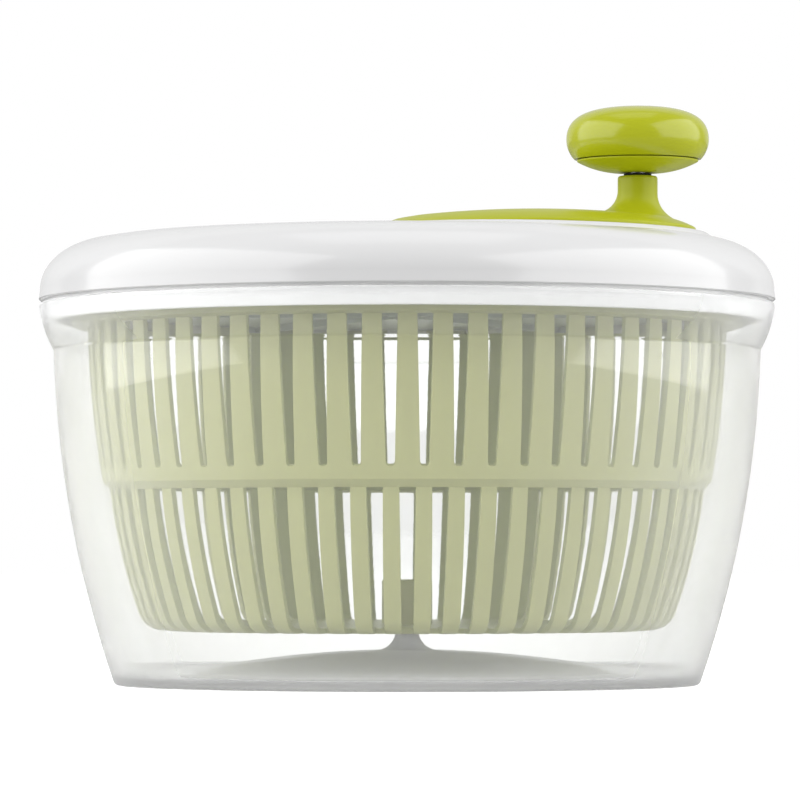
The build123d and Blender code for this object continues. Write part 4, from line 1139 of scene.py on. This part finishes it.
@dataclass
class Lid:
    """The domed lid and what is fixed inside it."""

    top: float = 161.3
    edge_radius: float = 130.1
    edge_z: float = 135.5
    edge: float = 2.0
    edge_ease: float = 0.4
    side: Point = (129.7, 139.1)
    shoulder: Point = (108.9, 156.85)
    fullness: float = 0.54
    wall: float = 2.4
    crank: float = 45.0
    well: float = 57.9
    well_wall: float = 2.0
    well_floor: float = 155.0
    well_lip: tuple[Point, ...] = ((0.0, 0.35), (0.1, 0.1), (0.35, 0.0))
    mound: float = 61.1
    mound_top: float = 160.5
    mound_tilt: float = 1.0
    mound_slope: float = 35.0
    mound_round: float = 1.5
    blend: float = 0.5
    mound_rings: tuple[float, ...] = (60.6, 60.85, 61.1, 61.3, 61.5, 61.8, 62.1)
    dome_rings: tuple[float, ...] = (62.5, 63.0, 63.5, 64.0, 64.5, 65.0, 66.0)
    dome_steps: int = 14
    dome_edge: float = 114.0
    under_steps: int = 8
    under_edge: float = 112.0
    bush_seat: float = 9.88
    journal_seat: float = 6.38
    boss_wall: float = 2.2
    boss_z: float = 150.6
    pocket_z: float = 153.8
    ledge_z: float = 136.9
    rim_z: float = 134.5
    skirt: tuple[float, float, float] = (123.8907, 126.2907, 127.3)
    skirt_z: float = 128.4
    skirt_ease: float = 0.3
    skirt_draft: float = 0.05
    screws: int = 6
    screw_ring: float = 107.9
    screw_bore: Point = (1.53, 8.0)
    screw_boss: float = 3.8
    screw_boss_z: float = 140.7
    screw_facets: int = 24
    facets: int = 288

    def outline(self, inset: float) -> list[Point]:
        """Draw the lid from its crown to its side, moved in by a wall.

        Args:
            inset: Thickness moved in.

        Returns:
            The open outline.
        """
        side = (self.side[0] - inset, self.side[1])
        shoulder = (self.shoulder[0], self.shoulder[1] - inset)
        reach = self.fullness * (side[0] - shoulder[0])
        rise = self.fullness * (shoulder[1] - side[1])
        grade = tan(2 * atan((self.top - self.shoulder[1]) / self.shoulder[0]))
        handle = (shoulder[0] + reach, shoulder[1] - reach * grade)
        drawn = Section().to(0, self.top - inset).tangent(shoulder, (1, 0), steps=24)
        return drawn.bezier(handle, (side[0], side[1] + rise), side, steps=40).points

    def crest(self, x: float, y: float) -> float:
        """Give the height of the mound's own surface.

        Args:
            x: Place along X.
            y: Place along Y.

        Returns:
            The height, which falls away outside the mound.
        """
        away = hypot(x - self.crank, y)
        slope = radians(self.mound_slope)
        start = self.mound - self.mound_round * tan(slope / 2)
        run = away - start
        if run < 0:
            drop = 0.0
        elif run < self.mound_round * sin(slope):
            drop = self.mound_round - sqrt(self.mound_round**2 - run**2)
        else:
            run -= self.mound_round * sin(slope)
            drop = self.mound_round * (1 - cos(slope)) + run * tan(slope)
        return self.mound_top - (x - self.crank) * tan(radians(self.mound_tilt)) - drop

    def crown(self, skin: Skin) -> None:
        """Skin the outside, from the well's foot over mound and dome to the side.

        Args:
            skin: The skin being made.
        """
        outer = self.outline(0.0)

        def surface(x: float, y: float) -> float:
            """Give the height outside, blended where mound and dome meet.

            Args:
                x: Place along X.
                y: Place along Y.

            Returns:
                The height.
            """
            dome, crest = level(outer, hypot(x, y)), self.crest(x, y)
            near = max(0.0, self.blend - abs(dome - crest)) / self.blend
            return max(dome, crest) + near**2 * self.blend / 4

        skin.ring(self.well - self.edge_ease, self.well_floor, self.crank)
        skin.ring(self.well, self.well_floor + self.edge_ease, self.crank)
        for out, down in self.well_lip:
            skin.ring(self.well + out, lambda x, y: self.crest(x, y) - down, self.crank)
        for r in self.mound_rings + self.dome_rings:
            skin.ring(r, surface, self.crank)
        skin.shift(surface, (r, self.crank), (self.dome_edge, 0.0), self.dome_steps)
        skin.rings((r, z) for r, z in outer if r > self.dome_edge + self.blend)

    def cover(self) -> Mesh:
        """Build the lid's shell, with the well and the bosses.

        Returns:
            The closed shell.
        """
        skin = Skin(self.facets)
        seat = skin.ring(self.bush_seat, self.well_floor, self.crank)
        self.crown(skin)
        side, ease, low = self.edge_radius, self.edge_ease, self.skirt_z
        skin.rings(((side, self.edge_z + ease), (side - ease, self.edge_z)))
        skin.rings((side - self.edge, z) for z in (self.edge_z, self.rim_z))
        thin, thick, root = self.skirt
        ease = self.skirt_ease
        skin.rings(((root, self.rim_z), (thick + self.skirt_draft, low + ease)))
        skin.rings(((thick - ease, low), (thin + ease, low), (thin, low + ease)))
        skin.rings(((thin, self.ledge_z), (side - self.wall, self.ledge_z)))
        inner = self.outline(self.wall)
        skin.rings((r, z) for r, z in reversed(inner) if r > self.under_edge)

        def underside(x: float, y: float) -> float:
            """Give the height of the dome's inside."""
            return level(inner, hypot(x, y))

        well = self.well + self.well_wall
        skin.shift(underside, (self.under_edge, 0.0), (well, self.crank), self.under_steps)
        floor_z = self.well_floor - self.wall
        feet = [skin.ring(well, floor_z, self.crank)]
        for bore, x in ((self.bush_seat, self.crank), (self.journal_seat, 0.0)):
            skin.last = []
            feet.append(skin.ring(bore + self.boss_wall, floor_z, x))
            skin.rings(((bore + self.boss_wall, self.boss_z), (bore, self.boss_z)), x)
            if x:
                bridge(skin.mesh, skin.last, seat)
        skin.ring(self.journal_seat, self.pocket_z)
        skin.cap()
        edges = skin.mesh.edges
        pairs = [pair for foot in feet for pair in zip(foot, foot[1:] + foot[:1])]
        loops = [edges.get(pair) or edges.new(pair) for pair in pairs]
        bmesh.ops.triangle_fill(skin.mesh, edges=loops, use_beauty=True)
        self.bosses(skin.mesh)
        return closed(skin.mesh)

    def bosses(self, mesh: Mesh) -> None:
        """Hang the screw bosses under the crown.

        Args:
            mesh: The mesh being made.
        """
        foot, (bore, depth) = self.screw_boss_z, self.screw_bore
        corners = ((bore, foot + depth), (bore, foot), (self.screw_boss, foot))
        corners += ((self.screw_boss, self.shoulder[1] - self.wall / 2),)
        turns = whole(self.screw_facets)
        for n in range(self.screws):
            turn = 2 * pi * (n + 0.5) / self.screws
            x, y = self.screw_ring * cos(turn), self.screw_ring * sin(turn)
            loft(mesh, [arc(mesh, r, z, turns, x, y) for r, z in corners])

    def build(self) -> None:
        """Build the cover, and dress what is fixed inside it."""
        cover = place(self.cover(), "lid_shell", WHITE)
        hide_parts("lid_cover")
        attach(cover, "lid")
        for node, finish, bevel in (
            ("gear_cover", GREY, EASE),
            ("cover_screws", STEEL, FINE_EASE),
            ("crank_bush", BEARING, 0.0),
            ("pinion_bush", BEARING, 0.0),
            ("spindle_bush", BEARING, 0.0),
        ):
            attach(refined(node, finish, bevel), "lid")


@dataclass
class Crank:
    """The crank's disc with its stem and gear, and the knob's spindle."""

    offset: float = 45.0
    stem_x: float = 81.7
    stem: float = 7.07
    stem_top: float = 180.0
    stem_round: float = 1.0
    flare: float = 8.5
    top: float = 167.6
    cap: Point = (46.0, 164.85)
    sphere: float = 386.1023
    rim: Point = (57.3, 161.2)
    rim_rounds: Point = (0.9, 0.3)
    dome_steps: int = 16
    dome_edge: float = 54.4
    ring_gaps: Point = (0.2, 1.0)
    skirt_z: float = 156.0
    wall: float = 2.2
    spindle: float = 3.03
    spindle_z: float = 170.0
    collar: Point = (11.5, 156.5)
    hub: Point = (8.0, 150.3)
    stub: float = 6.0
    stub_root: float = 0.1
    flats: float = 4.6
    stub_z: float = 144.3
    stub_steps: int = 12
    ribs: int = 8
    rib_z: float = 158.4
    rib_half: float = 0.8
    rib_root: float = 0.6
    rib_places: tuple[float, ...] = (11.0, 25.0, 40.0, 50.0)
    rib_end: Point = (55.6, 159.7)

    def dome(self, sink: float) -> Section:
        """Draw the disc's top from its middle to its rim.

        Args:
            sink: Depth below the outside, and distance in from its edge.

        Returns:
            The open outline.
        """
        edge, z = self.cap
        drawn = Section().to(0, self.top - sink).tangent((edge, z - sink), (1, 0))
        way = (self.sphere - (self.top - z), -edge)
        rounding = 0.0 if sink else self.rim_rounds[0]
        rim = (self.rim[0] - sink, self.rim[1] - sink)
        return drawn.tangent(rim, way, steps=14, rounding=rounding)

    def disc(self) -> Mesh:
        """Build the disc, with the stem grown out of its dome.

        Returns:
            The closed disc.
        """
        skin = Skin()
        outer = self.dome(0.0).to(self.rim[0], self.skirt_z, self.rim_rounds[1]).rounded()
        inner = self.dome(self.wall).points

        def height(extra: float) -> Height:
            """Give the dome's height with something added."""
            return lambda x, y: level(outer, hypot(x - self.offset, y)) + extra

        first = skin.ring(self.spindle, self.spindle_z, self.stem_x)
        skin.ring(self.spindle, self.stem_top, self.stem_x)
        bend = self.stem_round
        for turn in quarter(steps=4):
            z = self.stem_top - bend + bend * cos(turn)
            skin.ring(self.stem - bend + bend * sin(turn), z, self.stem_x)
        for turn in quarter(steps=12):
            foot = self.stem + self.flare * (1 - cos(turn))
            skin.ring(foot, height(self.flare * (1 - sin(turn))), self.stem_x)
        ends = (foot, self.stem_x), (self.dome_edge, self.offset)
        reach = self.dome_edge + self.ring_gaps[0]
        skin.shift(height(0.0), *ends, self.dome_steps)
        skin.rings(((r, z) for r, z in outer if r > reach), self.offset)
        skin.ring(self.rim[0] - self.wall, self.skirt_z, self.offset)
        edge, reach = self.collar[0], self.collar[0] + self.ring_gaps[1]
        skin.rings(((r, z) for r, z in reversed(inner) if r > reach), self.offset)
        skin.rings(((edge, level(inner, edge)), self.collar), self.offset)
        skin.rings(((self.hub[0], self.collar[1]), self.hub), self.offset)
        skin.cap()
        skin.mesh.faces.new(first)
        self.inside(skin.mesh, inner)
        return closed(skin.mesh)

    def inside(self, mesh: Mesh, inner: list[Point]) -> None:
        """Add the ribs under the dome and the stub that carries the gear.

        Args:
            mesh: The mesh being made.
            inner: Outline of the dome's underside.
        """
        chain = [(r, level(inner, r) + self.rib_root) for r in self.rib_places]
        chain += [self.rib_end, (self.rib_end[0], self.rib_z), (chain[0][0], self.rib_z)]
        for n in range(self.ribs):
            turn = pi * (2 * n + 1) / self.ribs
            c, s = cos(turn), sin(turn)
            loft(
                mesh,
                [
                    [point(mesh, self.offset + c * r - s * w, s * r + c * w, z) for r, z in chain]
                    for w in (-self.rib_half, self.rib_half)
                ],
            )
        edge = acos(self.flats / self.stub)
        count = self.stub_steps
        turns = [pi / 2 + edge + (pi - 2 * edge) * i / count for i in range(count + 1)]
        turns += [t + pi for t in turns]
        ends = (self.hub[1] + self.stub_root, self.stub_z)
        loft(mesh, [arc(mesh, self.stub, z, turns, self.offset) for z in ends])

    def build(self) -> None:
        """Build the disc, and dress the rest of the crank."""
        disc = place(self.disc(), "domed_disc", GREEN_DISC)
        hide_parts("crank_disc")
        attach(disc, "crank")
        for node, finish in (
            ("drive_gear", GEAR),
            ("crank_screw", STEEL),
            ("crank_washer", STEEL),
            ("knob_spindle", STEEL),
            ("knob_washer", DARK_WASHER_AND_GAP_SHADE),
            ("knob_clip", STEEL),
        ):
            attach(refined(node, finish), "crank")


@dataclass
class Knob:
    """The mushroom knob, turned in two shells."""

    axis: float = 81.7
    bottom: float = 181.1
    top: float = 204.6
    radius: float = 25.25
    girth_z: float = 192.9
    wall: float = 2.2
    reach: float = 16.0
    rise: float = 9.2
    edge: float = 22.45
    edge_round: float = 0.25
    seam_z: float = 185.9
    seam: float = 0.3
    base: Point = (21.45, 185.1)
    base_rounds: Point = (0.3, 0.1)
    bore: float = 3.05
    sleeve: Point = (5.85, 192.1)
    snap: Point = (18.95, 189.5)
    snap_wall: float = 1.6
    seat_fit: float = 0.03
    facets: int = 128

    def cap(self) -> Section:
        """Draw the upper shell.

        Returns:
            Its half section.
        """
        inside, lip = self.radius - self.wall, self.edge - self.wall / 2
        seat, snap_z = self.snap[0] + self.seat_fit, self.snap[1]
        girth, crown = (self.radius, self.girth_z), self.top - self.wall
        handle = (self.radius, self.girth_z + self.rise)
        drawn = Section().to(0, self.top).bezier((self.reach, self.top), handle, girth, steps=32)
        drawn.tangent((self.edge, self.seam_z), (0, -1), steps=12, rounding=self.edge_round)
        drawn.to(seat, self.seam_z).to(seat, snap_z).to(lip, snap_z)
        drawn.back(Section().to(inside, self.girth_z).tangent((lip, snap_z), (0, -1), steps=6))
        handle = (inside, self.girth_z + self.rise - self.wall)
        return drawn.bezier(handle, (self.reach - self.wall, crown), (0, crown), steps=16)

    def dish(self) -> Section:
        """Draw the lower shell.

        Returns:
            Its half section.
        """
        snap_in = self.snap[0] - self.snap_wall
        lip_z = self.seam_z - self.seam
        drawn = Section().to(self.bore, self.bottom).to(self.sleeve[0], self.bottom)
        drawn.tangent(self.base, (1, 0), steps=20, rounding=self.base_rounds[0])
        drawn.to(self.base[0], lip_z, self.base_rounds[1])
        drawn.to(self.snap[0], lip_z).to(*self.snap).to(snap_in, self.snap[1])
        drawn.to(snap_in, self.base[1]).to(self.sleeve[0], self.bottom + self.wall)
        return drawn.to(*self.sleeve).to(self.bore, self.sleeve[1])

    def build(self) -> None:
        """Spin the two shells."""
        for name, node, section, finish in (
            ("knob_crown", "knob_cap", self.cap(), GREEN),
            ("knob_dish", "knob_base", self.dish(), LIGHTENED_GREEN_DISH),
        ):
            shell = place(section.spun(self.facets, self.axis), name, finish)
            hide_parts(node)
            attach(shell, "knob")


@dataclass
class Driver:
    """The pinion and the drive plate that turns the basket.

    Attributes:
        eases: Width of the eased edges of each of its nodes.
    """

    eases: tuple[float, ...] = (0.0, EASE, FINE_EASE, 0.0)

    def build(self) -> None:
        """Dress the driver's pieces."""
        nodes = ("pinion", "drive_plate", "drive_screw", "drive_washer")
        for node, finish, bevel in zip(nodes, (GEAR, GREY, STEEL, STEEL), self.eases):
            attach(refined(node, finish, bevel), "driver")


# --- studio ---
@dataclass
class Lamp:
    """A soft box.

    Attributes:
        name: Its name.
        spot: Where it stands, in metres.
        target: What it faces.
        size: Width and height.
        power: Watts.
    """

    name: str
    spot: Spot
    target: Spot
    size: Point
    power: float

    def build(self) -> None:
        """Hang the lamp."""
        light = bpy.data.lights.new(self.name, "AREA")
        light.shape = "RECTANGLE"
        light.size, light.size_y = self.size
        light.energy = self.power
        lamp = link(self.name, light)
        lamp.location = self.spot
        way = Vector(self.target) - Vector(self.spot)
        lamp.rotation_euler = way.to_track_quat("-Z", "Y").to_euler()


@dataclass
class Studio:
    """Pale floor, white surroundings, soft boxes and the camera, in metres."""

    eye: Spot = (-0.0025, -1.8, 0.0447)
    tilt: float = 1.779
    lens: float = 229.0
    fill: float = 0.32
    mirror: float = 0.35
    floor_size: float = 12.0
    floor_colour: Colour = (0.35, 0.35, 0.35)
    floor_near: float = 0.88
    floor_reach: Point = (0.4, 2.0)
    floor_glow: float = 0.1

    def world(self) -> None:
        """Make surroundings that are white to the eye and softer as light."""
        world = bpy.data.worlds.new("surroundings")
        bpy.context.scene.world = world
        world.use_nodes = True
        graph = Graph(world.node_tree)
        path = graph.add("LightPath").outputs
        glow = graph.math("MULTIPLY", path["Is Glossy Ray"], self.mirror)
        for other in (path["Is Camera Ray"], path["Is Transmission Ray"], self.fill):
            glow = graph.math("MAXIMUM", glow, other)
        sky = graph.tree.nodes["Background"]
        graph.feed(sky, {"Color": (1, 1, 1), "Strength": glow})

    def floor(self) -> None:
        """Lay the floor, white to the eye except in the object's shadow."""
        mesh = bmesh.new()
        bmesh.ops.create_grid(mesh, x_segments=2, y_segments=2, size=self.floor_size)
        data = bpy.data.meshes.new("floor")
        mesh.to_mesh(data)
        mesh.free()
        material, graph, shader = start_material("pale floor")
        spot = graph.add("TexCoord").outputs["Object"]
        away = graph.add("VectorMath", {0: spot}, operation="LENGTH").outputs["Value"]
        reach = {"From Min": self.floor_reach[0], "From Max": self.floor_reach[1]}
        reach |= {"To Min": self.floor_near, "To Max": 1.0, "Value": away}
        bright = graph.add("MapRange", reach).outputs["Result"]
        path = graph.add("LightPath").outputs
        seen = graph.math("MAXIMUM", path["Is Camera Ray"], path["Is Transmission Ray"])
        glow = graph.add("Mix", {0: seen, 2: self.floor_glow, 3: bright}).outputs[0]
        graph.feed(shader, {"Base Color": self.floor_colour, "Roughness": 0.6})
        graph.feed(shader, {"Specular IOR Level": 0.0, "Emission Color": (1, 1, 1)})
        graph.feed(shader, {"Emission Strength": glow})
        data.materials.append(material)
        link("floor", data)

    def camera(self) -> None:
        """Set the camera at the level of the bowl, looking a little upwards."""
        lens = bpy.data.cameras.new("camera")
        lens.lens = self.lens
        lens.clip_end = 100.0
        camera = link("camera", lens)
        camera.location = self.eye
        camera.rotation_euler = (radians(90 + self.tilt), 0, 0)
        bpy.context.scene.camera = camera

    def build(self) -> None:
        """Set up the whole studio."""
        bpy.context.scene.view_settings.view_transform = "Standard"
        self.world()
        self.floor()
        self.camera()
        for lamp in (
            Lamp("top box", (0.0, 0.1, 1.4), (0, 0, 0.1), (0.75, 0.8), 1.3),
            Lamp("left panel", (-1.55, -0.4, 0.9), (0, 0, 0.2), (3.0, 2.0), 38.0),
            Lamp("right panel", (1.55, -0.4, 0.9), (0, 0, 0.2), (3.0, 2.0), 37.0),
            Lamp("back panel", (0.0, 2.6, 1.5), (0, 0, 0.2), (6.0, 3.0), 19.0),
        ):
            lamp.build()


def main() -> None:
    """Build every sub-assembly, then the studio."""
    logging.basicConfig(level=logging.INFO)
    for part in (Bowl(), Basket(), Lid(), Crank(), Knob(), Driver(), Studio()):
        part.build()
        LOG.info("%s built", type(part).__name__)


if __name__ == "__main__":
    main()
